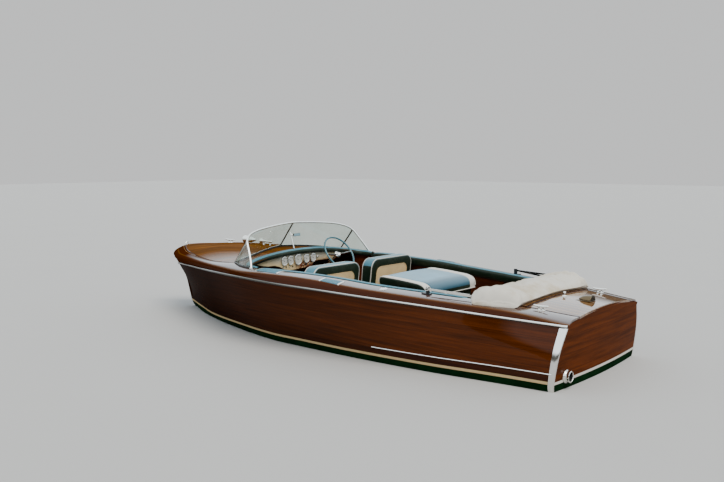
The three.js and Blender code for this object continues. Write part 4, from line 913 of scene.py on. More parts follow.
def make_materials():
    """Every finish of the boat, by name."""
    make_groups()
    col, size = colours(), sizes()
    return {
        # The topsides take painted shade toward the bow (0.9); the transom takes none
        "side": hull_paint("side_planks", col.side_wood, size.strake_width, col.stripe_side, 0.9, 0.2),
        "stern": hull_paint("stern_planks", col.transom_wood, 0.16, col.stripe_stern, 0.0, 0.08),
        "board": board_wood(),
        "fore_deck": deck_planks("foredeck_planks", linear(112, 46, 14), 0.03, 0.6),
        "aft_deck": deck_planks("aft_deck_planks", col.seam, 1.0, 1.0, 2.1),
        "moulding": varnished("gold_moulding", linear(176, 122, 58), 0.5, 0.0,
                              shade(col.transom_wood, 0.3), 0.1, 0.3)[0],
        "lining": plain_wood("lining_wood", col.lining_wood, 0.14),
        "floor": plain_wood("floor_boards", col.floor_wood, 0.09, 0.6, 0.05),
        "chrome": bright_metal("chrome", col.chrome),
        "bronze": bright_metal("bronze", linear(172, 128, 74), 0.3, 0.6),
        "aged": bright_metal("aged_metal", linear(96, 82, 62), 0.2, 0.6),
        "iron": soft_paint("engine_paint", linear(96, 104, 108), 0.5, 0.3),
        "green": vinyl("green_vinyl", col.green, 0.1, 0.2),
        "blue": vinyl("blue_vinyl", col.blue, 0.3),
        "roll_blue": vinyl("roll_blue_vinyl", col.roll_blue, 0.2, 0.3),
        # The hatch pad's aft roll turns deeper teal: painted shade
        "hatch_blue_painted_shade": painted_shade_along(vinyl("hatch_vinyl_painted_shade", col.blue, 0.3), -1.15, -1.25,
                               linear(40, 88, 106), 0.9),
        # The rail's chrome darkens toward the bow: painted dark reflection
        "rail": painted_shade_along(bright_metal("rail_metal_painted_shade", col.chrome), -1.9, 0.2, linear(58, 54, 46), 0.92),
        "white": vinyl("white_vinyl", col.white, 0.1),
        "tan": speckled_tan(),
        "dash": dash_face(),
        "canvas": canvas_cloth(),
        "rim": soft_paint("wheel_rim", col.rim, 0.22),
        # Dark rubber of the seals, also the rail's lower strips, where it is a painted shadow under the rail
        "rubber": soft_paint("dark_rubber_and_rail_shade", linear(34, 36, 32), 0.55),
        "post": soft_paint("dark_post", linear(70, 52, 34), 0.3, 0.3),
        "tread": soft_paint("step_tread", linear(86, 142, 160), 0.5),
        "bar": soft_paint("top_hinges", linear(30, 31, 33), 0.3, 0.2),
        # Top bars with painted shade on their inboard and under faces
        "bow": bar_metal_painted_shade(),
        "dial": soft_paint("dial_face", linear(222, 220, 208), 0.35),
        "ink": soft_paint("dial_marks", linear(28, 30, 32), 0.5),
        "glass": shield_glass(),
        # Pale blue mirror face: painted sky reflection
        "mirror": soft_paint("mirror_painted_reflection", linear(140, 180, 194), 0.1),
        "lens": soft_paint("lamp_lens", linear(232, 234, 230), 0.08),
        # Dark sheet in the vent's mouth and lining of the exhaust's bore: painted shade
        "dark": soft_paint("hollow_painted_shade", linear(16, 17, 16), 0.7),
    }


FINISH = {}


# Hull and decks


def slab_rings(place_at, columns, thick, fore_clear=CENTRE_CLEAR):
    """Closed rings of a port panel: the outer surface and the same a thickness inside it, in metres."""
    rings, marks = [], []
    for share in SHARES:
        outer = [place_at(share, v) for v in columns]
        across = [0.0]
        for a, b in zip(outer, outer[1:]):
            across.append(across[-1] + (b - a).length)
        total = across[-1]
        inner = []
        for p, v in zip(outer, columns):
            normal = surface_normal(place_at, share, v)
            q = p - normal * thick
            q.y = max(q.y, fore_clear)
            inner.append(q)
        ring = [p * MM for p in outer] + [p * MM for p in reversed(inner)]
        mark = [Vector((p.x * MM, (total - d) * MM, (total - d) * MM)) for p, d in zip(outer, across)]
        rings.append(ring)
        marks.append(mark + mark[::-1])
    return rings, marks


BOARD_COLUMNS = (0, 0.35, 0.7, 0.92, 1, 1.08, 1.17, 1.27, 1.38, 1.5, 1.63, 1.76, 1.88, 1.97, 2)
STEM_HALF = 20.3
SKIN = PLANK - 2
PLANK_SHIFT = 0.039
FORE_ROWS, AFT_ROWS = 48, 14


def build_topsides():
    columns = [3 * k / 16 for k in range(17)]
    for name, side in SIDES:
        rings, marks = slab_rings(side_point, columns, SKIN, STEM_HALF)
        bm = to_side(loft(rings, marks), side)
        piece(f"topside_skin_{name}", bm, FINISH["side"], slot="side_wood", replaces=[f"topside_{name}"])


def build_boards():
    for name, side in SIDES:
        rings, marks = slab_rings(board_point, BOARD_COLUMNS, SKIN)
        bm = to_side(loft(rings, marks), side)
        piece(f"covering_board_skin_{name}", bm, FINISH["board"], slot="board_wood",
              replaces=[f"covering_board_{name}"], sharp=50)


def deck_row(shares_across, x_at):
    """One row of places across a deck in metres, x_at giving x at a share of its half breadth."""
    row = []
    for f in shares_across:
        x = x_at(f)
        edge = breadth(EDGE_LINE, x) - GAP
        edge_z = height(EDGE_LINE, x)
        crown = height(CROWN_LINE, x)
        row.append(Vector((x, f * edge, edge_z + (crown - edge_z) * (1 - f * f))) * MM)
    return row


def cockpit_x(f):
    """Forward edge of the cockpit at a share of the deck's half breadth."""
    half = breadth(EDGE_LINE, COCKPIT_SHOULDER)
    x = COCKPIT_SHOULDER + 200
    for _ in range(8):
        side = min(abs(f) * breadth(EDGE_LINE, x) / half, 1.0)
        x = COCKPIT_SHOULDER + (COCKPIT_FORE - COCKPIT_SHOULDER) * (
            max(1 - side ** (2 / COCKPIT_POWER), 0) ** (COCKPIT_POWER / 2))
    return x


def aft_edge_x(f):
    """Aft edge of the aft deck at a share of its half breadth."""
    return transom_x(f * breadth(EDGE_LINE, EDGE_LINE[0][0]), height(CROWN_LINE, CROWN_LINE[0][0])) + 1


def deck_slab(rows):
    under = [[p - Vector((0, 0, PLANK * MM)) for p in row] for row in rows]
    rings = [a + b[::-1] for a, b in zip(rows, under)]
    marks = [[Vector((p.x, p.y + PLANK_SHIFT, 0)) for p in ring] for ring in rings]
    return loft(rings, marks)


def spread(count):
    """Shares from -1 to 1, closer together at the ends."""
    shares = [2 * k / count - 1 for k in range(count + 1)]
    return [math.copysign(1 - (1 - abs(t)) ** 1.7, t) for t in shares]


def build_deck(name, finish, start, end, shares):
    """Deck from an edge that varies across the boat to a straight one."""
    across = spread(40)
    rows = [deck_row(across, lambda f, t=t: start(f) * (1 - t) + end * t) for t in shares]
    piece(f"{name}_skin", deck_slab(rows), FINISH[finish], slot="deck_wood", replaces=[name])


def build_decks():
    shares = [(k / FORE_ROWS) ** 1.15 for k in range(FORE_ROWS + 1)]
    build_deck("foredeck", "fore_deck", cockpit_x, FOREDECK_END, shares)
    shares = [k / AFT_ROWS for k in range(AFT_ROWS + 1)]
    build_deck("aft_deck", "aft_deck", aft_edge_x, COCKPIT_AFT, shares)


def transom_rows():
    """Rows of the transom's aft face: half breadth, height at the sides and crown, in millimetres."""
    rows = [(KEEL_HALF, KEEL_Z, 0)]
    for k in range(21):
        p = side_point(0, 3 * k / 20)
        rows.append((p.y, p.z if k else CHINE_LINE[0][2], 0))
    _, edge_y, edge_z = EDGE_LINE[0]
    rows.append((SHOULDER_LINE[0][1] - PLANK / 2, RAIL_LINE[0][2] + 20, 0))
    rows.append((edge_y - 1, edge_z - PLANK / 2, height(CROWN_LINE, EDGE_AFT) - edge_z))
    return rows


def build_transom():
    across = [2 * k / 40 - 1 for k in range(41)]
    rings, marks = [], []
    for half, level, crown in transom_rows():
        places = [(half * f, level + crown * (1 - f * f)) for f in across]
        outer = [Vector((transom_x(y, z) - 0.5, y, z)) * MM for y, z in places]
        inner = [p + Vector((TRANSOM_THICK * MM, 0, 0)) for p in outer]
        rings.append(outer + inner[::-1])
        marks.append([Vector((p.y, p.z + 3.04, p.x)) for p in rings[-1]])
    piece("transom_skin", loft(rings, marks), FINISH["stern"], slot="transom_wood", replaces=["transom"])


class RUNABOUT_OT_hull(bpy.types.Operator):
    """Topsides, transom, covering boards and decks"""

    bl_idname = "runabout.hull"
    bl_label = "Hull and decks"

    def execute(self, context):
        build_topsides()
        build_boards()
        build_decks()
        build_transom()
        finish_node("hull_bottom", FINISH["side"])
        for name in ("forward_bulkhead", "aft_bulkhead"):
            finish_node(name, FINISH["lining"])
        return {"FINISHED"}


# Bright trim along the hull

RAIL_STARTS = (-0.0045, 0.003)
RAIL_END_Y, RAIL_FOOT = 24, 2.87
RAIL_SECTION = (
    (-2, -13), (8, -13), (11, -10), (11, -4), (15, -4), (18, -1), (18, 4), (14, 9), (7, 12), (-2, 12),
)
# Lowest strips of the rail's section that take the dark finish: a painted shadow line
RAIL_SHADE_STRIPS = 3
SIDE_STRIP = (-2.94, -1.05, 0.16, 0.0055, 0.008)
STRIP_SECTION = ((-0.002, -1), (0.4, -1), (0.8, -0.62), (1, 0), (0.8, 0.62), (0.4, 1), (-0.002, 1))
STEM_SECTION = (
    (-0.004, -0.012), (0.003, -0.012), (0.007, -0.007), (0.009, 0), (0.007, 0.007), (0.003, 0.012),
    (-0.004, 0.012),
)
STEM_CAP = ((0, 0.021), (0.017, 0.019), (0.029, 0.010), (0.032, -0.003), (0.027, -0.015), (0, -0.018))
BAND_ROWS = 24
BAND_TOP = 2.93
BAND_LOW_WIDTH, BAND_MORE_WIDTH = 12, 26
BAND_STEPS = (0, 0.2, 0.5, 0.8, 1)
BAND_PROUD = 3
BAND_ON_TRANSOM, BAND_AFT = 14, 29.5
HULL_LENGTH = 6000


def rail_rings():
    """Sections of the port rub rail in its place, from the stern to the stem."""
    after_starts = [s for s in SHARES if s > RAIL_STARTS[-1] and line_point(RAIL_LINE, s, 0).y > RAIL_END_Y]
    rings = []
    for share in [*RAIL_STARTS, *after_starts]:
        at = line_point(RAIL_LINE, share, SIDE_INSET)
        low = side_point(max(share, 0.0), RAIL_FOOT)
        along = line_point(RAIL_LINE, min(share + 0.01, 1), SIDE_INSET) - at
        along.z = 0
        along.normalize()
        out = Vector((-along.y, along.x, 0))
        reach = max(0, (low - at).dot(out)) * (share > 0) + 1.0
        rings.append([(at + out * (reach + a) + Vector((0, 0, b))) * MM for a, b in RAIL_SECTION])
    return rings


def side_strip(x_from, x_to, z, half, proud, count=40):
    """Half-round strip on the topside at one height."""
    rings = []
    for k in range(count + 1):
        at, normal = side_spot(x_from + (x_to - x_from) * k / count, z)
        normal.z = 0
        normal.normalize()
        rings.append([at + normal * (a * proud) + Vector((0, 0, b * half)) for a, b in STRIP_SECTION])
    return loft(rings)


def corner_band():
    """Bright band over the topside's aft corner, wider at the top, turned a little onto the transom."""
    rings = []
    for k in range(BAND_ROWS + 1):
        v = BAND_TOP * k / BAND_ROWS
        width = BAND_LOW_WIDTH + BAND_MORE_WIDTH * (k / BAND_ROWS)
        shares = [width * t / HULL_LENGTH for t in BAND_STEPS]
        points = [side_point(share, v) for share in shares]
        normals = [surface_normal(side_point, max(share, RAIL_STARTS[-1]), v) for share in shares]
        outer = [p + n * BAND_PROUD for p, n in zip(points, normals)]
        edge = points[0] - Vector((BAND_AFT, 0, 0))
        wrap = [edge + Vector((0, -BAND_ON_TRANSOM, 0)), edge + Vector((-BAND_PROUD, -BAND_ON_TRANSOM, 0)),
                edge + Vector((-BAND_PROUD, 1, 0))]
        end = points[-1] + normals[-1] * 0.2
        ring = [*wrap, edge + normals[0] * BAND_PROUD, *outer, end, points[0], edge]
        rings.append([p * MM for p in ring])
    return loft(rings)


def build_stem_band():
    """Band down the stem, and a cap over the ends of both rub rails."""
    path = even([Vector((x, 0, z)) * MM for x, z in STEM_PROFILE], 40)
    band = sweep(path, STEM_SECTION, up=(0, 1, 0))
    rail_end = rail_rings()[-1]
    middle = sum(rail_end, Vector()) / len(rail_end)
    cap = turned(STEM_CAP, (middle.x + 0.004, 0, middle.z + 0.002))
    piece("stem_band", merged([band, cap]), FINISH["chrome"], slot="chrome")


def deck_edge_strip(x_from, x_to, half, proud, count=60):
    """Low moulding over the seam between a deck and its covering board."""
    path = []
    for k in range(count + 1):
        x = x_from + (x_to - x_from) * k / count
        path.append(Vector((x, breadth(EDGE_LINE, x), height(EDGE_LINE, x))) * MM)
    section = [(-half, -0.002), (-half * 0.7, proud), (half * 0.7, proud), (half, -0.002)]
    return sweep(path, section, up=(0, 0, 1))


def cross_strip(x, half_y, half, proud):
    path = [on_deck(x, half_y * (2 * k / 30 - 1)) for k in range(31)]
    section = [(-half, -0.003), (-half * 0.8, proud * 0.7), (0, proud), (half * 0.8, proud * 0.7),
               (half, -0.003)]
    return sweep(path, section, up=(0, 0, 1))


class RUNABOUT_OT_trim(bpy.types.Operator):
    """Rub rails, bright strips, corner bands, stem band and deck mouldings"""

    bl_idname = "runabout.trim"
    bl_label = "Bright trim"

    def execute(self, context):
        chrome, gold = FINISH["chrome"], FINISH["moulding"]
        rail_and_shade_finish = [FINISH["rail"], FINISH["rubber"]]
        for name, side in SIDES:
            # The rail's lowest strips take the dark finish: a painted shadow line under the rail
            rail = loft(rail_rings(), bands=lambda row, column: int(column < RAIL_SHADE_STRIPS))
            piece(f"rub_rail_strip_{name}", to_side(rail, side), rail_and_shade_finish, slot="chrome",
                  replaces=[f"rub_rail_{name}"])
            table = (
                ("side_strip", side_strip(*SIDE_STRIP), chrome, "chrome"),
                ("corner_band", corner_band(), chrome, "chrome"),
                ("foredeck_edge", deck_edge_strip(575, 3004, 0.006, 0.0012), gold, "deck_wood"),
                ("aft_deck_edge", deck_edge_strip(-3020, -2484, 0.009, 0.003, 20), gold, "deck_wood"),
            )
            for part, bm, finish, slot in table:
                piece(f"{part}_{name}", to_side(bm, side), finish, slot=slot)
        piece("aft_deck_moulding", cross_strip(-2.535, 0.655, 0.014, 0.007), gold, slot="deck_wood")
        build_stem_band()
        return {"FINISHED"}


# Windshield

HOOP_FOOT = (0.640, 1.054)
HOOP_PORT = (
    (0.666, 1.030, 0.856), (0.715, 1.000, 0.937), (0.807, 0.950, 1.069), (0.829, 0.928, 1.096),
    (0.849, 0.900, 1.124), (0.873, 0.850, 1.149), (0.888, 0.800, 1.165), (0.905, 0.700, 1.188),
    (0.925, 0.560, 1.206), (0.955, 0.380, 1.220), (0.989, 0.200, 1.229),
)
CORNER_PLACE = 3
HOOP_CORNER = Vector(HOOP_PORT[CORNER_PLACE])
HOOP_CENTRE = Vector((1.006, 0, 1.236))
BOTTOM_RAIL = ((1.233, 0), (1.176, 0.200), (1.120, 0.400), (1.073, 0.600), (1.045, 0.800), (1.037, 0.925))
WING_RAIL = ((1.037, 0.925), (0.955, 0.972), (0.865, 1.016), (0.765, 1.047), (0.690, 1.055), (0.648, 1.052))
FRAME_RADIUS = 0.011
RAIL_RADIUS = 0.009
HOOP_BASE = ((0, 0.008), (0.012, 0.008), (0.017, 0.006), (0.021, 0.002), (0.021, -0.006), (0, -0.006))
SEAL_SECTION = (
    (-0.012, -0.013), (-0.012, 0.0024), (-0.0072, 0.006), (0.0072, 0.006), (0.012, 0.0024), (0.012, -0.013),
)
BEAD_RADIUS, BEAD_LIFT = 0.0045, 0.008
BRIGHT_SHIFT = Vector((-0.006, 0.006, 0))
MULLION_TOP = Vector((1.009, 0, 1.230))
MULLION_SECTION = (
    (-0.009, -0.007), (0.009, -0.007), (0.009, 0.004), (0.004, 0.009), (-0.004, 0.009), (-0.009, 0.004),
)
MIRROR_BASE = ((0, 0.012), (0.010, 0.010), (0.018, 0.003), (0.018, -0.004), (0, -0.004))
GLASS_HALF = 0.0025
PANE_STEPS = 8
LEAST_PANE = 0.02


def hoop_path():
    port = [on_deck(*HOOP_FOOT, 0.0015), *[Vector(p) for p in HOOP_PORT]]
    starboard = [Vector((p.x, -p.y, p.z)) for p in reversed(port)]
    return through_all([*port, HOOP_CENTRE, *starboard], 150)


def rail_path(places, count):
    return through_all([on_deck(x, y, RAIL_RADIUS + 0.002) for x, y in places], count)


def build_hoop():
    hoop = tube(hoop_path(), FRAME_RADIUS, 16, up=(1, 0, 0))
    feet = []
    for _, side in SIDES:
        foot = on_deck(*HOOP_FOOT)
        foot.y *= side
        feet.append(turned(HOOP_BASE, foot, steps=20))
    piece("shield_hoop", merged([hoop, *feet]), FINISH["chrome"], slot="chrome",
          replaces=["windshield_frame"])


def build_shield_side(name, side):
    """Seals under both panes, a bright bead in front, and the bar where the panes meet."""
    front = rail_path(BOTTOM_RAIL, 30)
    seals = [sweep(p, SEAL_SECTION, up=(0, 0, 1)) for p in (front, rail_path(WING_RAIL, 26))]
    piece(f"shield_seal_{name}", to_side(merged(seals), side), FINISH["rubber"], slot="chrome")
    raised = [p + Vector((0, 0, BEAD_LIFT)) for p in front]
    bead = sweep(raised, round_section(BEAD_RADIUS, 8), up=(0, 0, 1))
    piece(f"shield_bead_{name}", to_side(bead, side), FINISH["chrome"], slot="chrome")
    ends = [front[-1], HOOP_CORNER]
    bright = tube([p + BRIGHT_SHIFT for p in ends], BEAD_RADIUS, 8)
    bar = merged([painted(tube(ends, RAIL_RADIUS), 0), painted(bright, 1)])
    piece(f"shield_corner_{name}", to_side(bar, side), [FINISH["post"], FINISH["chrome"]], slot="chrome")


def build_shield_frame():
    build_hoop()
    for name, side in SIDES:
        build_shield_side(name, side)
    mullion = sweep([on_deck(1.233, 0, RAIL_RADIUS), MULLION_TOP], MULLION_SECTION, up=(1, 0, 0))
    piece("shield_mullion", mullion, FINISH["post"], slot="chrome")


def pane(low, high):
    """Smooth slab of glass between its sill and the hoop."""
    pairs = [(a, b) for a, b in zip(low, high) if b.z - a.z > LEAST_PANE]
    last = len(pairs) - 1
    rings = []
    for k, (a, b) in enumerate(pairs):
        before, after = pairs[max(k - 1, 0)], pairs[min(k + 1, last)]
        along = after[0] + after[1] - before[0] - before[1]
        out = along.cross(b - a).normalized() * GLASS_HALF
        steps = [a.lerp(b, j / PANE_STEPS) for j in range(PANE_STEPS + 1)]
        rings.append([p + out for p in steps] + [p - out for p in reversed(steps)])
    return loft(rings)


def build_panes():
    over_front = through_all([HOOP_CENTRE, *reversed(HOOP_PORT[CORNER_PLACE:])], 40)
    over_wing = through_all([*reversed(HOOP_PORT[:CORNER_PLACE + 1]), on_deck(*HOOP_FOOT)], 30)
    for name, side in SIDES:
        for part, node, low, high in (
            ("shield_pane", "windshield_glass", rail_path(BOTTOM_RAIL, 40), over_front),
            ("wing_pane", "wing_glass", rail_path(WING_RAIL, 30), over_wing),
        ):
            piece(f"{part}_{name}", to_side(pane(low, high), side), FINISH["glass"],
                  replaces=[f"{node}_{name}"])


def build_mirror():
    chrome = FINISH["chrome"]
    low, high = on_deck(0.992, 0, 0.001), Vector((1.052, 0, 1.116))
    post = tube([low, high], 0.0065, 12)
    base = turned(MIRROR_BASE, low, steps=20)
    arm = tube([(1.044, 0, 1.082), (1.032, -0.02, 1.082), (1.016, -0.05, 1.081)], 0.005, 10)
    head = block((1.007, -0.134, 1.063), (1.020, -0.013, 1.099), 0.006, 3)
    # The face is pale blue, a painted sky reflection
    face = block((1.0045, -0.129, 1.067), (1.0078, -0.018, 1.095), 0.0015, 1)
    whole = merged([painted(p, 0) for p in (post, base, arm)] + [painted(head, 2), painted(face, 1)])
    piece("mirror_post", whole, [chrome, FINISH["mirror"], FINISH["bar"]], slot="chrome",
          replaces=["windshield_post"])


class RUNABOUT_OT_windshield(bpy.types.Operator):
    """Bright hoop, rubber seals, corner bars, mullion, glass and mirror"""

    bl_idname = "runabout.windshield"
    bl_label = "Windshield"

    def execute(self, context):
        build_shield_frame()
        build_panes()
        build_mirror()
        return {"FINISHED"}


# Padded rolls and the dash

COAMING_SECTION = (
    (12, -2), (8, 4), (-5, 9), (-26, 7), (-44, -8), (-50, -36), (-44, -76), (-26, -96), (-8, -98),
    (-3, -92), (-3, -2),
)
DASH_SECTION = (
    (12, -2), (9, 10), (-6, 18), (-30, 12), (-44, -8), (-46, -32), (-34, -48), (-12, -50), (-3, -46),
    (-3, -2),
)
COAMING_AFT, COAMING_FORE = -2006, 552
PAD_LIFT = 2.4
DIALS = ((0.294, 0.049), (0.188, 0.049), (0.056, 0.060), (-0.092, 0.049), (-0.214, 0.049))
DIAL_Z = 0.795
PANEL_X = 0.880
KNOBS = (0.318, 0.262, 0.206, 0.150, -0.030, -0.090, -0.150)
KNOB_Z = 0.722
FACING_AFT = (-1, 0, 0)
DIAL_FRONT = PANEL_X - 0.0125
DIAL_TURN, NEEDLE_TURN = 125, -70
BEZEL = (
    (-0.006, 0), (-0.004, 0.004), (0, 0.0055), (0.004, 0.004), (0.005, 0), (0.005, -0.008),
    (-0.006, -0.008), (-0.006, 0),
)
DIAL_HUB = ((0, 0.0045), (0.004, 0.004), (0.005, 0.001), (0, 0.001))


def roll_section(outline, count=26):
    """Smooth section of a padded roll, in metres."""
    points = [Vector((-u, v, 0)) * MM for u, v in outline[:-1]]
    curve = through_all(points, count)
    return [(p.x, p.y) for p in curve] + [(-outline[-1][0] * MM, outline[-1][1] * MM)]


def shrink(section, share):
    middle = (sum(a for a, _ in section) / len(section), sum(b for _, b in section) / len(section))
    return [(middle[0] + (a - middle[0]) * share, middle[1] + (b - middle[1]) * share) for a, b in section]


def roll(path, outline, blue_from, end_share=0.25):
    """Padded roll with a blue top, green side and softly closed ends."""
    section = roll_section(outline)
    count = len(path)
    ends = {0: end_share, 1: 0.8, 2: 0.95, count - 3: 0.95, count - 2: 0.8, count - 1: end_share}

    def at(i):
        pucker = 1 + 0.012 * noise.noise(Vector((i * 0.9, 0.3, 0)))
        return shrink(section, ends.get(i, 1.0) * pucker)

    def band(row, column):
        a, b = section[column % len(section)]
        return 0 if b > blue_from and a < 0.034 else 1

    return sweep(path, at, up=(0, 0, 1), bands=band)


def front_path(count=90):
    half = breadth(EDGE_LINE, COCKPIT_SHOULDER)
    depth = COCKPIT_FORE - COCKPIT_SHOULDER
    path = []
    for k in range(count + 1):
        angle = math.pi * k / count
        y = math.copysign(half * abs(math.cos(angle)) ** COCKPIT_POWER, math.cos(angle))
        x = COCKPIT_SHOULDER + depth * math.sin(angle) ** COCKPIT_POWER
        path.append(Vector((x, y, deck_z(x, y) + PAD_LIFT)) * MM)
    return even(path, 110)


def even(path, count):
    """The same line with its places spaced evenly."""
    lengths = [0.0]
    for a, b in zip(path, path[1:]):
        lengths.append(lengths[-1] + (b - a).length)
    out = []
    j = 0
    for k in range(count):
        want = lengths[-1] * k / (count - 1)
        while j < len(path) - 2 and lengths[j + 1] < want:
            j += 1
        span = max(lengths[j + 1] - lengths[j], 1e-9)
        out.append(path[j].lerp(path[j + 1], min((want - lengths[j]) / span, 1)))
    return out


def build_rolls():
    pair = [FINISH["roll_blue"], FINISH["green"]]
    dash = piece("dash_roll", roll(front_path(), DASH_SECTION, 0.002, 0.9), pair, slot="green_vinyl",
                 replaces=["dash_pad"])
    for name, side in SIDES:
        path = []
        for k in range(61):
            x = COAMING_AFT + (COAMING_FORE - COAMING_AFT) * k / 60
            path.append(Vector((x, breadth(EDGE_LINE, x), height(EDGE_LINE, x) + PAD_LIFT)) * MM)
        bm = to_side(roll(path, COAMING_SECTION, -0.001), side)
        obj = piece(f"coaming_roll_{name}", bm, pair, slot="green_vinyl", replaces=[f"coaming_pad_{name}"])


def dial_bar(half_depth, half_width, low, high, degrees, centre):
    """Flat bar on a dial, from one distance to another off its centre, turned to its place."""
    bar = block((-half_depth, -half_width, low), (half_depth, half_width, high), 0)
    turn = Matrix.Rotation(math.radians(degrees), 3, "X")
    bmesh.ops.rotate(bar, cent=(0, 0, 0), matrix=turn, verts=bar.verts)
    return painted(moved(bar, centre), 2)


def dial(y, radius):
    """One gauge: bright bezel, pale face, marks, needle and hub."""
    centre = Vector((DIAL_FRONT, y, DIAL_Z))
    face = [(0, 0.001), (radius - 0.006, 0.001), (radius - 0.005, -0.004), (0, -0.004)]
    parts = [
        painted(turned([(radius + r, z) for r, z in BEZEL], centre, FACING_AFT, 40), 0),
        painted(turned(face, centre, FACING_AFT, 40), 1),
    ]
    marks = sizes().dial_ticks
    outer = radius - 0.010
    for k in range(marks):
        long = 0.010 if k % 5 == 0 else 0.006
        degrees = DIAL_TURN * (2 * k / (marks - 1) - 1)
        parts.append(dial_bar(0.0006, 0.0009, outer - long, outer, degrees, centre - Vector((0.0014, 0, 0))))
    needle = dial_bar(0.0005, 0.0012, -0.008, radius - 0.016, NEEDLE_TURN, centre - Vector((0.0026, 0, 0)))
    hub = painted(turned(DIAL_HUB, centre, FACING_AFT, 16), 2)
    return merged([*parts, needle, hub])


def knob(y, z, radius=0.009, dark=False):
    profile = [(0, 0.019), (radius * 0.7, 0.018), (radius, 0.014), (radius, 0.009), (radius * 0.5, 0.006),
               (radius * 0.5, 0), (0, 0)]
    return painted(turned(profile, (PANEL_X, y, z), FACING_AFT, 16), 2 if dark else 0)


class RUNABOUT_OT_dash(bpy.types.Operator):
    """Padded rolls, dash panel with its gauges and knobs"""

    bl_idname = "runabout.dash"
    bl_label = "Dash and rolls"

    def execute(self, context):
        build_rolls()
        finish_node("dash_panel", FINISH["dash"], 0.0015)
        trio = [FINISH["chrome"], FINISH["dial"], FINISH["ink"]]
        for k, (y, radius) in enumerate(DIALS):
            piece(f"dial_{k + 1}", dial(y, radius), trio, slot="tan_panel")
        knobs = [knob(y, KNOB_Z, dark=k % 2 == 1) for k, y in enumerate(KNOBS)]
        key = knob(-0.30, 0.800, 0.013)
        piece("dash_knobs", merged([*knobs, key]), trio, slot="chrome")
        return {"FINISHED"}


# Steering wheel

WHEEL_CENTRE = Vector((0.660, -0.470, 0.845))
WHEEL_TILT = math.radians(36)
WHEEL_AXIS = Vector((math.cos(WHEEL_TILT), 0, -math.sin(WHEEL_TILT)))
WHEEL_RADIUS = 0.228
WHEEL_GRIP = 0.011
WHEEL_DISH = 0.042
GRIPS = 40
GRIP_WAVE = 0.05
SPOKE_LAST = 21
HUB_PROFILE = (
    (0, -0.024), (0.020, -0.023), (0.036, -0.018), (0.043, -0.010), (0.043, -0.002), (0.030, 0.006),
    (0.022, 0.018), (0, 0.018),
)
HUB_RING = ((0.022, -0.0235), (0.027, -0.0275), (0.032, -0.0200), (0.022, -0.0235))


def wheel_rim():
    """Rim with a shallow wave of finger grips."""
    count = 160
    angles = [2 * math.pi * k / count for k in range(count)]
    path = [(WHEEL_RADIUS * math.cos(a), WHEEL_RADIUS * math.sin(a), 0) for a in angles]

    def at(i):
        return round_section(WHEEL_GRIP * (1 - GRIP_WAVE * math.cos(angles[i] * GRIPS)), 12)

    return sweep(path, at, up=(0, 0, 1), closed=True)


def wheel_spoke(side):
    path = through_all([(side * (WHEEL_RADIUS - 0.003), 0, 0.002), (side * 0.17, 0, 0.013),
                        (side * 0.10, 0, WHEEL_DISH - 0.012), (side * 0.02, 0, WHEEL_DISH - 0.008)],
                       SPOKE_LAST + 1)

    def at(i):
        return round_section(0.012 + 0.007 * (i / SPOKE_LAST), 12, 0.6)

    return sweep(path, at, up=(0, 1, 0))


class RUNABOUT_OT_steering(bpy.types.Operator):
    """Wheel with its grip, spokes and hub, and the column"""

    bl_idname = "runabout.steering"
    bl_label = "Steering"

    def execute(self, context):
        round_parts = [turned([(r, WHEEL_DISH + z) for r, z in profile], steps=36)
                       for profile in (HUB_PROFILE, HUB_RING)]
        bright = [painted(p, 1) for p in (*round_parts, wheel_spoke(1), wheel_spoke(-1))]
        whole = place(merged([painted(wheel_rim(), 0), *bright]), WHEEL_CENTRE, WHEEL_AXIS)
        piece("wheel_and_hub", whole, [FINISH["rim"], FINISH["chrome"]], body="helm", slot="wheel_rim",
              replaces=["steering_wheel"])
        finish_node("steering_column", FINISH["chrome"])
        return {"FINISHED"}


# Upholstery

SQUARE_CORNER = 0.012
CORNER_STEPS, STRAIGHT_STEPS = 7, 10
LONG_EDGE = 0.08
FACE_INSETS = (0.04, 0.1, 0.16, 0.22, 0.3, 0.4, 0.52, 0.66, 0.82, 0.97)
FACE_FROM = 5.5


def rounded_outline(half_x, half_y, radius, square_low):
    """Places round a rectangle with rounded corners, from its low right corner."""
    out = []
    corners = ((1, -1), (1, 1), (-1, 1), (-1, -1))
    for k, (sx, sy) in enumerate(corners):
        r = min(SQUARE_CORNER if square_low and sy < 0 else radius, half_x, half_y)
        cx, cy = sx * (half_x - r), sy * (half_y - r)
        for j in range(CORNER_STEPS + 1):
            a = (k - 1 + j / CORNER_STEPS) * math.pi / 2
            out.append((cx + r * math.cos(a), cy + r * math.sin(a)))
    full = []
    for a, b in zip(out, out[1:] + out[:1]):
        steps = STRAIGHT_STEPS if math.dist(a, b) > LONG_EDGE else 1
        full += [(a[0] + (b[0] - a[0]) * s / steps, a[1] + (b[1] - a[1]) * s / steps) for s in range(steps)]
    return full


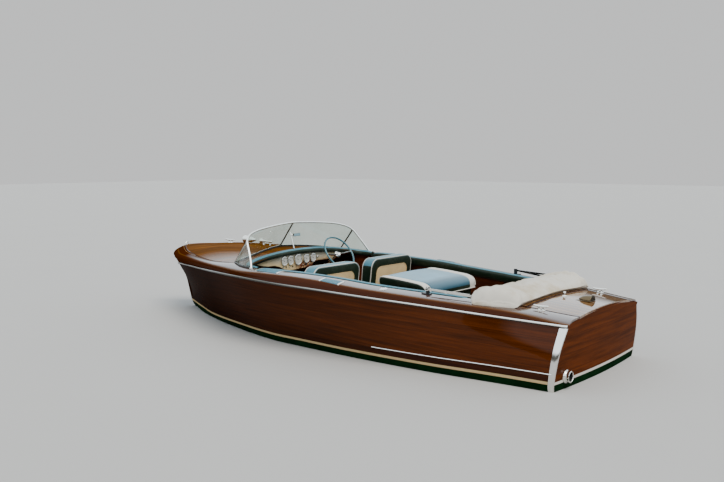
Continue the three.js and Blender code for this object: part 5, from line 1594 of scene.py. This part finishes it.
class Pad:
    """Stuffed form: a rounded outline, a soft edge and crowned faces. Places are (x, y, depth)."""

    def __init__(self, half_x, half_y, thick, radius, edge, crown, square_low=False):
        self.half_x, self.half_y, self.thick = half_x, half_y, thick
        self.radius, self.edge, self.crown = radius, edge, crown
        self.square_low = square_low

    def outline(self, inset):
        base = rounded_outline(self.half_x, self.half_y, self.radius, self.square_low)
        if not inset:
            return base
        scale_x = max(self.half_x - inset, 0.001) / self.half_x
        scale_y = max(self.half_y - inset, 0.001) / self.half_y
        return [(x * scale_x, y * scale_y) for x, y in base]

    def insets(self):
        deep = min(self.half_x, self.half_y)
        soft = [self.edge * (1 - math.cos(math.pi / 2 * k / 4)) for k in range(5)]
        inner = [self.edge + (deep - self.edge) * t for t in FACE_INSETS]
        return soft + inner

    def rise(self, inset):
        """How far a face stands over the edge's start at an inset."""
        if inset < self.edge:
            t = 1 - inset / self.edge
            return self.edge * math.sqrt(max(1 - t * t, 0))
        deep = min(self.half_x, self.half_y)
        t = (inset - self.edge) / (deep - self.edge)
        return self.edge + self.crown * (1 - (1 - t) ** 2)

    def rings(self):
        """Rings from the middle of the back face, over the side, to the middle of the front face."""
        insets = self.insets()
        half = self.thick / 2 - self.edge
        rings = [[(x, y, -half - self.rise(i)) for x, y in self.outline(i)] for i in reversed(insets)]
        rings.append([(x, y, 0.0) for x, y in self.outline(-0.003)])
        rings += [[(x, y, half + self.rise(i)) for x, y in self.outline(i)] for i in insets]
        return rings

    def build(self, shape, bands):
        rings = [[shape(Vector(p)) for p in ring] for ring in self.rings()]
        middle = (len(rings) - 1) / 2
        outline = self.outline(0)

        def band(row, column):
            face = 1 if row + 0.5 > middle else -1
            return bands(face, abs(row + 0.5 - middle), outline[column % len(outline)][1])

        return loft(rings, bands=band)

    def edge_path(self, face, inset=None):
        inset = self.edge * 0.3 if inset is None else inset
        z = face * (self.thick / 2 - self.edge + self.rise(inset))
        return [Vector((x, y, z)) for x, y in self.outline(inset)]

    def piping(self, shape, face, inset=None):
        """Piping sewn along the edge of a face."""
        return tube([shape(p) for p in self.edge_path(face, inset)], sizes().piping_radius, 8, closed=True)


def top_face(face, deep, y):
    """Second finish on a pad's front face, inside its edge."""
    return int(face > 0 and deep > FACE_FROM)


def lerp_at(rows, z):
    """Value between rows of (z, value)."""
    for (z0, a), (z1, b) in zip(rows, rows[1:]):
        if z <= z1:
            return a + (b - a) * max(0.0, (z - z0) / (z1 - z0))
    return rows[-1][1]


BACK_REAR = ((0.290, -0.064), (0.580, -0.124), (0.790, -0.148), (0.860, -0.150))
BACK_FRONT = ((0.290, 0.044), (0.580, 0.016), (0.795, -0.002), (0.860, -0.006))
SEAT_LOW, SEAT_HIGH = 0.291, 0.856
SEAT_Y0, SEAT_Y1 = 0.107, 0.896
BACK_THICK = 0.13
BACK_ROLL = 0.06
BACK_SIDE_TO, BACK_BLUE_FROM, BACK_TAN_FROM = 4.4, 8, 10
TAN_INSET, TAN_TRIM = 0.100, 0.003
BENCH_LOW, BENCH_HIGH = (-2.335, -0.638, 0.291), (-1.952, 0.638, 0.420)
BENCH_HALF, BENCH_TOP = 0.638, 0.638
BENCH_FRONT = ((0.291, -2.337), (0.430, -2.356), (0.620, -2.412), (0.640, -2.418))
BENCH_REAR = -2.482
BENCH_THICK = 0.11
BENCH_SEAMS = (-0.426, -0.213, 0.0, 0.213, 0.426)
SEAM_HALF = 0.012
CUSHION_LOW, CUSHION_HIGH = (0.047, SEAT_Y0, SEAT_LOW), (0.440, SEAT_Y1, 0.424)
CUSHION_SEAMS = (-0.2, 0.0, 0.2)
CUSHION_LEAN = 0.03
CUSHION_PIPING_IN = 0.012


def seat_back_shape():
    """Maps a pad place to the leaning seat back: x across the boat, y up, depth forward."""
    mid_y, mid_z = (SEAT_Y0 + SEAT_Y1) / 2, (SEAT_LOW + SEAT_HIGH) / 2

    def shape(p):
        z = mid_z + p.y
        rear, front = lerp_at(BACK_REAR, z), lerp_at(BACK_FRONT, z)
        return Vector(((rear + front) / 2 + p.z / BACK_THICK * (front - rear), mid_y + p.x, z))

    return shape


def build_seat_backs():
    green, blue, white, tan = (FINISH[k] for k in ("green", "roll_blue", "white", "tan"))
    half_y, half_z = (SEAT_Y1 - SEAT_Y0) / 2, (SEAT_HIGH - SEAT_LOW) / 2
    for name, side in SIDES:
        pad = Pad(half_y, half_z, BACK_THICK, 0.105, 0.022, 0.006, square_low=True)
        shape = seat_back_shape()

        def bands(face, deep, y):
            if deep < BACK_SIDE_TO:
                return int(y > half_z - BACK_ROLL)
            if face < 0:
                return 2 if deep > BACK_TAN_FROM else 0
            return int(deep > BACK_BLUE_FROM)

        bm = to_side(pad.build(shape, bands), side)
        obj = piece(f"seat_back_pad_{name}", bm, [green, blue, tan], slot="green_vinyl",
                    replaces=[f"seat_back_{name}"], sharp=60)
        trim = tube([shape(p) for p in pad.edge_path(-1, TAN_INSET)], TAN_TRIM, 8, closed=True)
        whole = merged([*[painted(pad.piping(shape, face), 0) for face in (-1, 1)], painted(trim, 1)])
        piece(f"seat_back_piping_{name}", to_side(whole, side), [white, tan], slot="green_vinyl")


def channels(p, places, depth):
    """Sewn channels: how far the cover is drawn in at a place."""
    return -depth * sum(math.exp(-(((p - at) / SEAM_HALF) ** 2)) for at in places)


def cushion_shape(low, high, seams):
    """Maps a pad place to a seat cushion: x along the boat, y across it, depth up."""
    middle = (Vector(low) + Vector(high)) / 2

    def shape(p):
        z = p.z
        if z > 0:
            z += channels(p.y, seams, 0.007)
        return Vector((middle.x + p.x, middle.y + p.y, middle.z + z + CUSHION_LEAN * p.x))

    return shape


def build_cushion(name, low, high, replaces, seams, side=1):
    low, high = Vector(low), Vector(high)
    half = (high - low) / 2
    pad = Pad(half.x, half.y, high.z - low.z, 0.06, 0.035, 0.010)
    shape = cushion_shape(low, high, seams)
    bm = to_side(pad.build(shape, top_face), side)
    obj = piece(name, bm, [FINISH["green"], FINISH["blue"]], slot="blue_vinyl", replaces=replaces, sharp=60)
    piping = to_side(pad.piping(shape, 1, CUSHION_PIPING_IN), side)
    piece(f"{name}_piping", piping, FINISH["white"], slot="blue_vinyl")


def build_bench():
    build_cushion("bench_pad", BENCH_LOW, BENCH_HIGH, ["bench_cushion"], BENCH_SEAMS)
    half_z = (BENCH_TOP - SEAT_LOW) / 2
    pad = Pad(BENCH_HALF, half_z, BENCH_THICK, 0.05, 0.025, 0.008, square_low=True)

    def shape(p):
        z = SEAT_LOW + half_z + p.y
        front = lerp_at(BENCH_FRONT, z)
        sunk = channels(p.x, BENCH_SEAMS, 0.006) if p.z > 0 else 0
        return Vector(((BENCH_REAR + front) / 2 + p.z / BENCH_THICK * (front - BENCH_REAR) + sunk, p.x, z))

    obj = piece("bench_back_pad", pad.build(shape, top_face), [FINISH["green"], FINISH["blue"]],
                slot="green_vinyl", replaces=["bench_back"], sharp=60)
    piece("bench_back_piping", pad.piping(shape, 1), FINISH["white"], slot="green_vinyl")


HATCH_OUTLINE = (
    (-0.712, 0.6745), (-0.706, 0.720), (-0.712, 0.752), (-0.740, 0.774), (-0.820, 0.772), (-0.900, 0.768),
    (-1.000, 0.761), (-1.100, 0.752), (-1.200, 0.742), (-1.255, 0.728), (-1.296, 0.700), (-1.312, 0.655),
    (-1.314, 0.601),
)
HATCH_UNDER = ((-1.284, 0.601), (-1.284, 0.6745))
HATCH_MIDDLE = Vector((-1.0, 0, 0.70))
HATCH_FOOT, HATCH_SKIRT = 0.601, 0.655
STRIPE_IN, STRIPE_SEAM, STRIPE_OUT = 0.372, 0.3735, 0.474
HATCH_SHARES = (
    0.480, 0.4795, 0.477, 0.472, 0.464, 0.452, 0.43, 0.40, 0.378, 0.375, 0.372, 0.369, 0.34, 0.28, 0.2,
    0.1, 0.0,
)
ROUND_FROM, ROUND_RADIUS = 0.460, 0.020


def hatch_swell(side):
    """Crown, groove and inset of the hatch's pad at a distance from the centre line."""
    inset, crown = 0.0, 0.0
    if side > ROUND_FROM:
        across = (side - ROUND_FROM) / ROUND_RADIUS
        inset = ROUND_RADIUS * (1 - math.sqrt(max(1 - across**2, 0)))
    if side < STRIPE_IN:
        crown = 0.008 * (1 - (side / STRIPE_IN) ** 2)
    elif side < STRIPE_OUT:
        crown = 0.004 * (1 - ((side - (STRIPE_IN + STRIPE_OUT) / 2) / ((STRIPE_OUT - STRIPE_IN) / 2)) ** 2)
    groove = 0.004 * math.exp(-(((side - STRIPE_SEAM) / 0.004) ** 2))
    return crown, groove, inset


def hatch_rings():
    """Sections of the hatch's pad across the boat, their places across it, and its outline."""
    top = through_all([(x, 0, z) for x, z in HATCH_OUTLINE], 44)
    last = len(top) - 1
    ys = [-s for s in HATCH_SHARES] + list(HATCH_SHARES[-2::-1])
    rings = []
    for y in ys:
        crown, groove, inset = hatch_swell(abs(y))
        ring = []
        for k, p in enumerate(top):
            along = top[min(k + 1, last)] - top[max(k - 1, 0)]
            out = Vector((along.z, 0, -along.x)).normalized()
            if (p - HATCH_MIDDLE).dot(out) < 0:
                out.negate()
            lift = crown if 2 < k < last - 2 else 0
            q = p + out * (lift - groove - inset)
            ring.append(Vector((q.x, y, max(q.z, HATCH_FOOT))))
        rings.append(ring + [Vector((x, y, z)) for x, z in HATCH_UNDER])
    return rings, ys, top


def build_hatch():
    rings, ys, top = hatch_rings()

    def bands(row, column):
        y = abs((ys[row] + ys[row + 1]) / 2)
        low = column < len(top) and (top[column].z < HATCH_SKIRT or column < 4)
        if y > STRIPE_OUT:
            return 1
        return 2 if y > STRIPE_SEAM else int(low)

    bm = loft(rings, bands=bands)
    for face in bm.faces:
        if len(face.verts) > 4:
            face.material_index = 1
    obj = piece("hatch_cover_pad", bm, [FINISH["hatch_blue_painted_shade"], FINISH["green"], FINISH["white"]], body="hatch",
                slot="blue_vinyl", replaces=["hatch_pad"], sharp=60)
    cord = tube([(-1.313, -0.468, 0.604), (-1.313, 0.468, 0.604)], 0.0055, 8)
    seams = []
    for side in (-1, 1):
        path = [Vector((p.x, side * 0.476, p.z - 0.004)) for p in top[3:-2]]
        seams.append(tube(path, 0.0045, 8))
    piece("hatch_piping", merged([cord, *seams]), FINISH["white"], body="hatch", slot="blue_vinyl")
    finish_node("engine_hatch", FINISH["lining"], 0.003)
    finish_node("engine_box", FINISH["green"], 0.003)
    finish_node("engine_block", FINISH["iron"], 0.006)


class RUNABOUT_OT_upholstery(bpy.types.Operator):
    """Seats, bench and the engine hatch's pad"""

    bl_idname = "runabout.upholstery"
    bl_label = "Upholstery"

    def execute(self, context):
        build_seat_backs()
        for name, side in SIDES:
            build_cushion(f"seat_cushion_pad_{name}", CUSHION_LOW, CUSHION_HIGH, [f"seat_cushion_{name}"],
                          CUSHION_SEAMS, side)
            finish_node(f"seat_base_{name}", FINISH["green"], 0.005)
        build_bench()
        build_hatch()
        for name, finish in (("bench_base", "lining"), ("cockpit_floor", "floor"),
                             ("cockpit_lining_port", "lining"), ("cockpit_lining_starboard", "lining")):
            finish_node(name, FINISH[finish])
        return {"FINISHED"}


# Folded top

BOOT_X0, BOOT_X1 = -2516, -2030
BOOT_CORNER = 700
BOOT_BEYOND, BOOT_BEYOND_AFT, BOOT_TAPER, BOOT_ON_BOARD = 165, 112, -2250, 915
BOOT_RIDGE = (
    (-1, 806), (-0.9, 836), (-0.78, 832), (-0.6, 816), (0, 816), (0.5, 818), (0.66, 828), (0.8, 846),
    (0.93, 829), (1, 800),
)
BOOT_PROFILE = (
    (1, 0.14), (0.97, 0.48), (0.72, 0.82), (0.3, 1), (-0.1, 1), (-0.5, 0.82), (-0.86, 0.44), (-1, 0.12),
)
BOOT_END_PROFILE = (
    (1, 0.36), (0.985, 0.60), (0.82, 0.76), (0.45, 0.93), (0.05, 1), (-0.45, 0.92), (-0.88, 0.56),
    (-1, 0.18),
)
BOOT_OVER_DECK = 2
BOOT_BLUNT_FROM, BOOT_BLUNT_RUN = 0.55, 0.27
BOOT_END_FULL, BOOT_END_POWER = 0.16, 30
BOOT_CORNER_FROM = 0.70
BOOT_THIN = 0.06


def boot_side(x, t):
    aft = min(max((BOOT_TAPER - x) / (BOOT_TAPER - BOOT_X0), 0), 1)
    return t * (breadth(EDGE_LINE, x) + BOOT_BEYOND + aft * (BOOT_BEYOND_AFT - BOOT_BEYOND))


def boot_shape(t):
    """Upper outline of the cloth at a share t of its half breadth, blunter toward the ends."""
    blunt = min(max((abs(t) - BOOT_BLUNT_FROM) / BOOT_BLUNT_RUN, 0), 1)
    blunt = blunt * blunt * (3 - 2 * blunt)
    pairs = zip(BOOT_PROFILE, BOOT_END_PROFILE)
    return through_all([Vector((*a, 0)).lerp(Vector((*b, 0)), blunt) for a, b in pairs], 34)


def boot_floor(x, t):
    """Height of the cloth's underside, on the deck and level over the cockpit's aft end."""

    def over_deck(at):
        return deck_z(at, min(abs(boot_side(at, t)), BOOT_ON_BOARD)) - BOOT_OVER_DECK

    return max(over_deck(x), over_deck(COCKPIT_AFT)) if x > COCKPIT_AFT else over_deck(x)


def boot_ring(t):
    """Section of the stowed cloth at a share t of its half breadth, with its folds, in metres."""
    full = max(BOOT_END_FULL, 1 - abs(t) ** BOOT_END_POWER) ** 0.5
    fore = BOOT_X1 - BOOT_CORNER * max(abs(t) - BOOT_CORNER_FROM, 0) ** 2
    centre = (BOOT_X0 + fore) / 2
    half = (fore - BOOT_X0) / 2 * (1 - BOOT_THIN * (1 - full))
    base = boot_floor(centre, t)
    rise = lerp_at(BOOT_RIDGE, t) - base
    ring = []
    for k in range(1, 12):
        x = centre + (k / 6 - 1) * half
        ring.append(Vector((x, boot_side(x, t), boot_floor(x, t))) * MM)
    for p in boot_shape(t):
        x = centre + p.x * half
        spot = Vector((x, boot_side(x, t), base + rise * p.y * full)) * MM
        ring.append(spot + fold(spot, p))
    return ring


def fold(spot, p):
    """Soft folds of the canvas: long ones across the boat, with slack and creases."""
    long_fold = noise.noise(Vector((spot.x * 11, spot.y * 1.6, 3.1)))
    slack = noise.noise(Vector((spot.x * 5, spot.y * 3.6, 8.7)))
    crease = 1 - abs(noise.noise(Vector((spot.x * 7 + spot.y * 3, spot.y * 2.2, 1.3)))) * 3
    lift = 0.012 * long_fold + 0.015 * slack - 0.014 * max(crease, 0) ** 4
    return Vector((p.x * 0.7, 0, p.y)) * lift


class RUNABOUT_OT_top(bpy.types.Operator):
    """Stowed cloth in its boot, bars and hinges"""

    bl_idname = "runabout.top"
    bl_label = "Folded top"

    def execute(self, context):
        spots = [k / 44 - 1 for k in range(89)]
        spots = [math.copysign(1 - (1 - abs(t)) ** 1.5, t) for t in spots]
        bm = loft([boot_ring(t) for t in spots])
        obj = piece("boot_cloth", bm, FINISH["canvas"], body="folded_top", slot="canvas",
                    replaces=["top_boot"], sharp=70)
        for name, _ in SIDES:
            finish_node(f"top_bows_{name}", FINISH["bow"])
            finish_node(f"top_hinge_{name}", FINISH["bar"])
        return {"FINISHED"}


# Deck fittings

CLEAT_POST = ((0, 0.036), (0.0105, 0.036), (0.0095, 0.016), (0.014, 0.005), (0.014, 0), (0, 0))
CLEAT_SCREW = ((0, 0.0055), (0.003, 0.0052), (0.004, 0.004), (0, 0.004))
CHOCK_PLATE = ((0, 0.005), (0.044, 0.005), (0.049, 0.002), (0.049, -0.006), (0, -0.006))
LAMP_SHELL = (
    (0, -0.123), (0.010, -0.121), (0.024, -0.085), (0.034, -0.05), (0.042, -0.01), (0.0455, 0.030),
    (0.046, 0.060), (0.048, 0.064), (0.048, 0.076), (0.043, 0.082), (0.040, 0.079), (0, 0.078),
)
LAMP_LENS = ((0, 0.088), (0.02, 0.0865), (0.036, 0.082), (0.039, 0.079), (0, 0.079))
LAMP_STAND = (
    (0.0, 0.052), (0.0075, 0.050), (0.0075, 0.02), (0.016, 0.006), (0.022, 0.002), (0.022, -0.008),
    (0, -0.008),
)
LAMP_LIFT, HORN_LIFT = 0.050, 0.044
HORN_X = 1.470
HORN_BELL = (
    (0, -0.098), (0.010, -0.098), (0.013, -0.092), (0.013, -0.070), (0.0105, -0.066), (0.0115, 0.02),
    (0.016, 0.055), (0.023, 0.082), (0.033, 0.098), (0.035, 0.1), (0.0345, 0.0985), (0.021, 0.080),
    (0.012, 0.050), (0, 0.046),
)
HORN_FOOT = ((0, 0.044), (0.005, 0.042), (0.005, 0.014), (0.011, 0.004), (0.013, -0.006), (0, -0.006))
VENT_ROWS = (
    (0.002, 0.004, 0.004), (-0.008, 0.020, 0.018), (-0.030, 0.038, 0.034), (-0.060, 0.048, 0.043),
    (-0.100, 0.055, 0.048), (-0.135, 0.058, 0.050),
)
VENT_FLOOR = -0.012
VENT_MOUTH = 0.84
SOCKET = (
    (0, 0.046), (0.009, 0.046), (0.013, 0.043), (0.015, 0.036), (0.013, 0.030), (0.013, 0.012),
    (0.020, 0.008), (0.026, 0.002), (0.026, -0.008), (0, -0.008),
)
EXHAUST_Y, EXHAUST_Z = 700, 112
PIPE = (
    (0.043, -0.010), (0.062, -0.010), (0.062, 0.004), (0.058, 0.010), (0.053, 0.014), (0.051, 0.020),
    (0.051, 0.038), (0.052, 0.042), (0.052, 0.045), (0.048, 0.048), (0.045, 0.047), (0.043, 0.043),
    (0.043, -0.010),
)
PIPE_HOLLOW = ((0, -0.006), (0.040, -0.006), (0.040, 0.041), (0.0435, 0.0435), (0.0435, -0.009), (0, -0.009))
PIPE_SCREW = ((0, 0.0115), (0.0025, 0.011), (0.0032, 0.007), (0, 0.007))
PIPE_SCREW_OUT = 0.0575
FILLER_CAP = (
    (0, 0.012), (0.012, 0.0115), (0.026, 0.010), (0.030, 0.006), (0.034, 0.005), (0.040, 0.002),
    (0.040, -0.008), (0, -0.008),
)
STERN_CLEAT = (-2.679, 0.643, 0.150)
STEP_PADS = ((0.165, 0.490, 1.020, 1.125), (-0.690, -0.440, 1.035, 1.120))
STEP_RIBS = 7


def cleat_parts(x, y, length):
    """Mooring cleat on its base plate, with two posts and tapered horns."""
    path = [(t * length / 2, 0, 0.034 + 0.007 * t * t) for t in [k / 12 - 1 for k in range(25)]]

    def at(i):
        t = abs(i / 12 - 1)
        return round_section(0.0105 * (1 - 0.40 * t**2) * (0.35 if t == 1 else 1), 12)

    horn = sweep(path, at, up=(0, 0, 1))
    posts = [turned(CLEAT_POST, (sx * length * 0.13, 0, 0), steps=16) for sx in (-1, 1)]
    plate = block((-length * 0.27, -0.016, -0.006), (length * 0.27, 0.016, 0.004), 0.004, 3)
    screws = [turned(CLEAT_SCREW, (sx * length * 0.22, 0, 0), steps=12) for sx in (-1, 1)]
    return moved(merged([horn, *posts, plate, *screws]), on_deck(x, y))


def half_circle(x, half, rise, base=0.0, steps=16):
    """Places of an arch across the boat."""
    angles = [math.pi * k / steps for k in range(steps + 1)]
    return [Vector((x, half * math.cos(a), base + rise * math.sin(a))) for a in angles]


def chock():
    """Arched fairlead at the bow on its plate."""
    arch = tube(half_circle(0, 0.042, 0.034, 0.002, 20), 0.0068, 12, up=(1, 0, 0))
    stem = tube([(0, 0, 0), (0, 0, 0.036)], 0.006, 12, up=(1, 0, 0))
    plate = turned(CHOCK_PLATE, steps=32)
    bmesh.ops.scale(plate, vec=(0.42, 1.05, 1), verts=plate.verts)
    return moved(merged([arch, stem, plate]), on_deck(3.020, 0))


def searchlight():
    """Torpedo lamp with its lens forward, on a flared foot."""
    foot = on_deck(1.790, 0)
    top = foot + Vector((0, 0, LAMP_LIFT))
    body = painted(turned(LAMP_SHELL, top, (1, 0, 0), 32), 0)
    lens = painted(turned(LAMP_LENS, top, (1, 0, 0), 32), 1)
    stand = painted(turned(LAMP_STAND, foot, steps=24), 0)
    return merged([body, lens, stand])


def deck_horn():
    """Long trumpet horn on two feet, bell forward."""
    bell = turned(HORN_BELL, on_deck(HORN_X, 0, HORN_LIFT), (1, 0, 0), 32)
    feet = [turned(HORN_FOOT, on_deck(HORN_X + dx, 0), steps=16) for dx in (0.055, -0.062)]
    return merged([bell, *feet])


def vent_hood():
    """Low cowl vent open aft, with a dark sheet of painted shade across its mouth and a rolled lip."""
    rings = []
    for x, half, rise in VENT_ROWS:
        corners = [Vector((x, side * half, VENT_FLOOR)) for side in (-1, 1)]
        rings.append(half_circle(x, half, rise) + corners)
    shell = painted(loft(rings), 0)
    lip = painted(tube(half_circle(-0.135, 0.056, 0.048), 0.0035, 10, up=(1, 0, 0)), 0)
    # Dark sheet across the mouth: painted shade inside the cowl
    hole = [half_circle(x, VENT_MOUTH * 0.056, VENT_MOUTH * 0.046, 0.004) for x in (-0.1358, -0.1352)]
    mouth = painted(loft(hole), 1)
    bars = []
    for y in (-0.03, -0.015, 0, 0.015, 0.03):
        ends = [(-0.137, y, 0.004), (-0.137, y, 0.040 - abs(y) * 0.35)]
        bars.append(painted(tube(ends, 0.0016, 6, up=(1, 0, 0)), 0))
    flange = painted(block((-0.140, -0.064, -0.008), (0.010, 0.064, 0.002), 0.003, 2), 0)
    return moved(merged([shell, lip, mouth, *bars, flange]), on_deck(-2.750, 0))


def light_socket():
    return turned(SOCKET, on_deck(-2.600, 0), steps=28)


def exhaust():
    """Exhaust outlet on the transom: flange with screws and a bored, rolled pipe, its bore lined with painted
    shade.
    """
    spot = Vector((transom_x(EXHAUST_Y, EXHAUST_Z), EXHAUST_Y, EXHAUST_Z)) * MM
    pipe = painted(turned(PIPE, spot, FACING_AFT, 40), 0)
    # Dark lining of the bore: painted shade
    hollow = painted(turned(PIPE_HOLLOW, spot, FACING_AFT, 40), 1)
    screws = []
    for k in range(4):
        a = math.pi / 4 + k * math.pi / 2
        at = spot + Vector((0, PIPE_SCREW_OUT * math.cos(a), PIPE_SCREW_OUT * math.sin(a)))
        screws.append(painted(turned(PIPE_SCREW, at, FACING_AFT, 12), 0))
    return merged([pipe, hollow, *screws])


def deck_patch(x0, x1, y0, y1, low, high, rows, columns):
    """Slab that follows the deck between two heights over it."""
    rings = []
    for i in range(rows + 1):
        x = x0 + (x1 - x0) * i / rows
        top = [on_deck(x, y0 + (y1 - y0) * j / columns, high) for j in range(columns + 1)]
        under = [p + Vector((0, 0, low - high)) for p in top]
        rings.append(top + under[::-1])
    return loft(rings)


def step_pad(x0, x1, y0, y1):
    """Ribbed tread on the covering board with bright ends."""
    parts = [painted(deck_patch(x0, x1, y0, y1, -0.004, 0.004, 16, 8), 0)]
    for k in range(STEP_RIBS):
        y = y0 + (y1 - y0) * (k + 0.5) / STEP_RIBS
        rib = deck_patch(x0 + 0.012, x1 - 0.012, y - 0.0035, y + 0.0035, 0.002, 0.0062, 16, 1)
        parts.append(painted(rib, 0))
    for x in (x0, x1):
        end = deck_patch(x - 0.010, x + 0.010, y0 - 0.003, y1 + 0.003, -0.004, 0.0068, 2, 8)
        parts.append(painted(end, 1))
    return merged(parts)


def filler_cap():
    spot = on_deck(-1.160, 0.985)
    bar = block((-0.018, -0.003, 0.010), (0.018, 0.003, 0.017), 0.0015, 2)
    return merged([turned(FILLER_CAP, spot, (0, 0.12, 1), 32), moved(bar, spot)])


class RUNABOUT_OT_fittings(bpy.types.Operator):
    """Cleats, chock, searchlight, horn, vent, light socket, exhaust, step pads and filler cap"""

    bl_idname = "runabout.fittings"
    bl_label = "Deck fittings"

    def execute(self, context):
        chrome, dark = FINISH["chrome"], FINISH["dark"]
        table = (
            ("bow_mooring_cleat", cleat_parts(2.150, 0, 0.190), "bow_cleat"),
            ("bow_fairlead", chock(), "bow_chock"),
            ("trumpet_horn", deck_horn(), "deck_horn"),
            ("stern_light_socket", light_socket(), "light_socket"),
            ("stern_mooring_cleat_port", cleat_parts(*STERN_CLEAT), "stern_cleat_port"),
            ("stern_mooring_cleat_starboard", to_side(cleat_parts(*STERN_CLEAT), -1),
             "stern_cleat_starboard"),
        )
        for name, bm, node in table:
            piece(name, bm, chrome, slot="chrome", replaces=[node])
        piece("search_lamp", searchlight(), [chrome, FINISH["lens"]], slot="chrome", replaces=["searchlight"])
        piece("vent_cowl", vent_hood(), [FINISH["aged"], dark], slot="chrome", replaces=["deck_vent"])
        piece("exhaust_pipe", exhaust(), [chrome, dark], slot="chrome", replaces=["exhaust_outlet"])
        for name, side in SIDES:
            pads = merged([step_pad(*place) for place in STEP_PADS])
            piece(f"step_pads_{name}", to_side(pads, side), [FINISH["tread"], chrome], slot="blue_vinyl")
        piece("filler_cap", filler_cap(), chrome, slot="chrome")
        for node in ("propeller", "shaft_strut", "rudder"):
            finish_node(node, FINISH["bronze"])
        return {"FINISHED"}


# Stage and camera

EYE = Vector((-6.083, 7.377, 2.0))
LOOK = Vector((0.6307, -0.776, 0))
PITCH = math.radians(5.56)
LENS = 41.37
SKY_LOW = (0.10, 0.10, 0.09)
SKY_HIGH = (0.74, 0.82, 0.90)
SKY_GLOSS = (1.80, 2.00, 2.14)
SKY_SEEN = (0.75, 0.76, 0.76)
SKY_RISE = (0.11, 0.22)
KEY_TOWARD, KEY_COLOUR = (-0.5, 0.16, 0.85), (1.0, 0.93, 0.84)
KEY_POWER, KEY_ANGLE = 2.3, 40
STAGE_SIZE = 120


class RUNABOUT_OT_stage(bpy.types.Operator):
    """Pale floor at the waterline, soft light and the camera"""

    bl_idname = "runabout.stage"
    bl_label = "Stage"

    def execute(self, context):
        scene = context.scene
        bm = grid(1, 1)
        bmesh.ops.scale(bm, vec=(STAGE_SIZE, STAGE_SIZE, 1), verts=bm.verts)
        mesh = bpy.data.meshes.new("stage_floor")
        bm.to_mesh(mesh)
        bm.free()
        mat, n, shader = new_material("stage_paper", Roughness=0.8)
        tone = n.noise(n.place(), 0.6, 3.0, 0.5)
        pale = colours().floor_stage
        n.put(shader.inputs["Base Color"], n.mix(tone, shade(pale, 0.98), shade(pale, 1.02)))
        mesh.materials.append(mat)
        floor = bpy.data.objects.new("stage_floor", mesh)
        scene.collection.objects.link(floor)
        self.light(scene)
        self.camera(scene)
        return {"FINISHED"}

    def light(self, scene):
        world = bpy.data.worlds.new("studio")
        scene.world = world
        world.use_nodes = True
        n = Nodes(world.node_tree)
        background = world.node_tree.nodes["Background"]
        rise = n.split(n.add("ShaderNodeTexCoord").outputs["Generated"])[2]
        rays = n.add("ShaderNodeLightPath").outputs
        sky = n.mix(rays["Is Glossy Ray"], SKY_HIGH, SKY_GLOSS)
        glow = n.mix(n.ramp(rise, *SKY_RISE), SKY_LOW, sky)
        seen = n.math("MAXIMUM", rays["Is Camera Ray"], rays["Is Transmission Ray"])
        n.put(background.inputs["Color"], n.mix(seen, glow, SKY_SEEN))
        data = bpy.data.lights.new("key", "SUN")
        data.angle = math.radians(KEY_ANGLE)
        data.energy = KEY_POWER
        data.color = KEY_COLOUR
        lamp = bpy.data.objects.new("key", data)
        lamp.rotation_mode = "QUATERNION"
        lamp.rotation_quaternion = Vector(KEY_TOWARD).to_track_quat("Z", "Y")
        scene.collection.objects.link(lamp)

    def camera(self, scene):
        data = bpy.data.cameras.new("camera")
        data.sensor_width = 36
        data.lens = LENS
        data.clip_end = 200
        camera = bpy.data.objects.new("camera", data)
        camera.location = EYE
        forward = LOOK.normalized() * math.cos(PITCH) - Vector((0, 0, math.sin(PITCH)))
        camera.rotation_mode = "QUATERNION"
        camera.rotation_quaternion = forward.to_track_quat("-Z", "Y")
        scene.collection.objects.link(camera)
        scene.camera = camera


OPERATORS = (
    RUNABOUT_OT_hull, RUNABOUT_OT_trim, RUNABOUT_OT_windshield, RUNABOUT_OT_dash, RUNABOUT_OT_steering,
    RUNABOUT_OT_upholstery, RUNABOUT_OT_top, RUNABOUT_OT_fittings, RUNABOUT_OT_stage,
)


class RUNABOUT_PT_panel(bpy.types.Panel):
    """The boat's colours, sizes and building steps"""

    bl_label = "Runabout"
    bl_idname = "RUNABOUT_PT_panel"
    bl_space_type = "VIEW_3D"
    bl_region_type = "UI"
    bl_category = "Runabout"

    def draw(self, context):
        for group_name in ("runabout_colours", "runabout_sizes"):
            values = getattr(context.scene, group_name)
            for key in values.__annotations__:
                self.layout.prop(values, key)
        for operator in OPERATORS:
            self.layout.operator(operator.bl_idname)


CLASSES = (RunaboutColours, RunaboutSizes, *OPERATORS, RUNABOUT_PT_panel)


def register():
    for item in CLASSES:
        bpy.utils.register_class(item)
    bpy.types.Scene.runabout_colours = PointerProperty(type=RunaboutColours)
    bpy.types.Scene.runabout_sizes = PointerProperty(type=RunaboutSizes)


def unregister():
    del bpy.types.Scene.runabout_sizes
    del bpy.types.Scene.runabout_colours
    for item in reversed(CLASSES):
        bpy.utils.unregister_class(item)


def main():
    register()
    FINISH.update(make_materials())
    for operator in OPERATORS:
        section, name = operator.bl_idname.split(".")
        getattr(getattr(bpy.ops, section), name)()


if __name__ == "__main__":
    main()
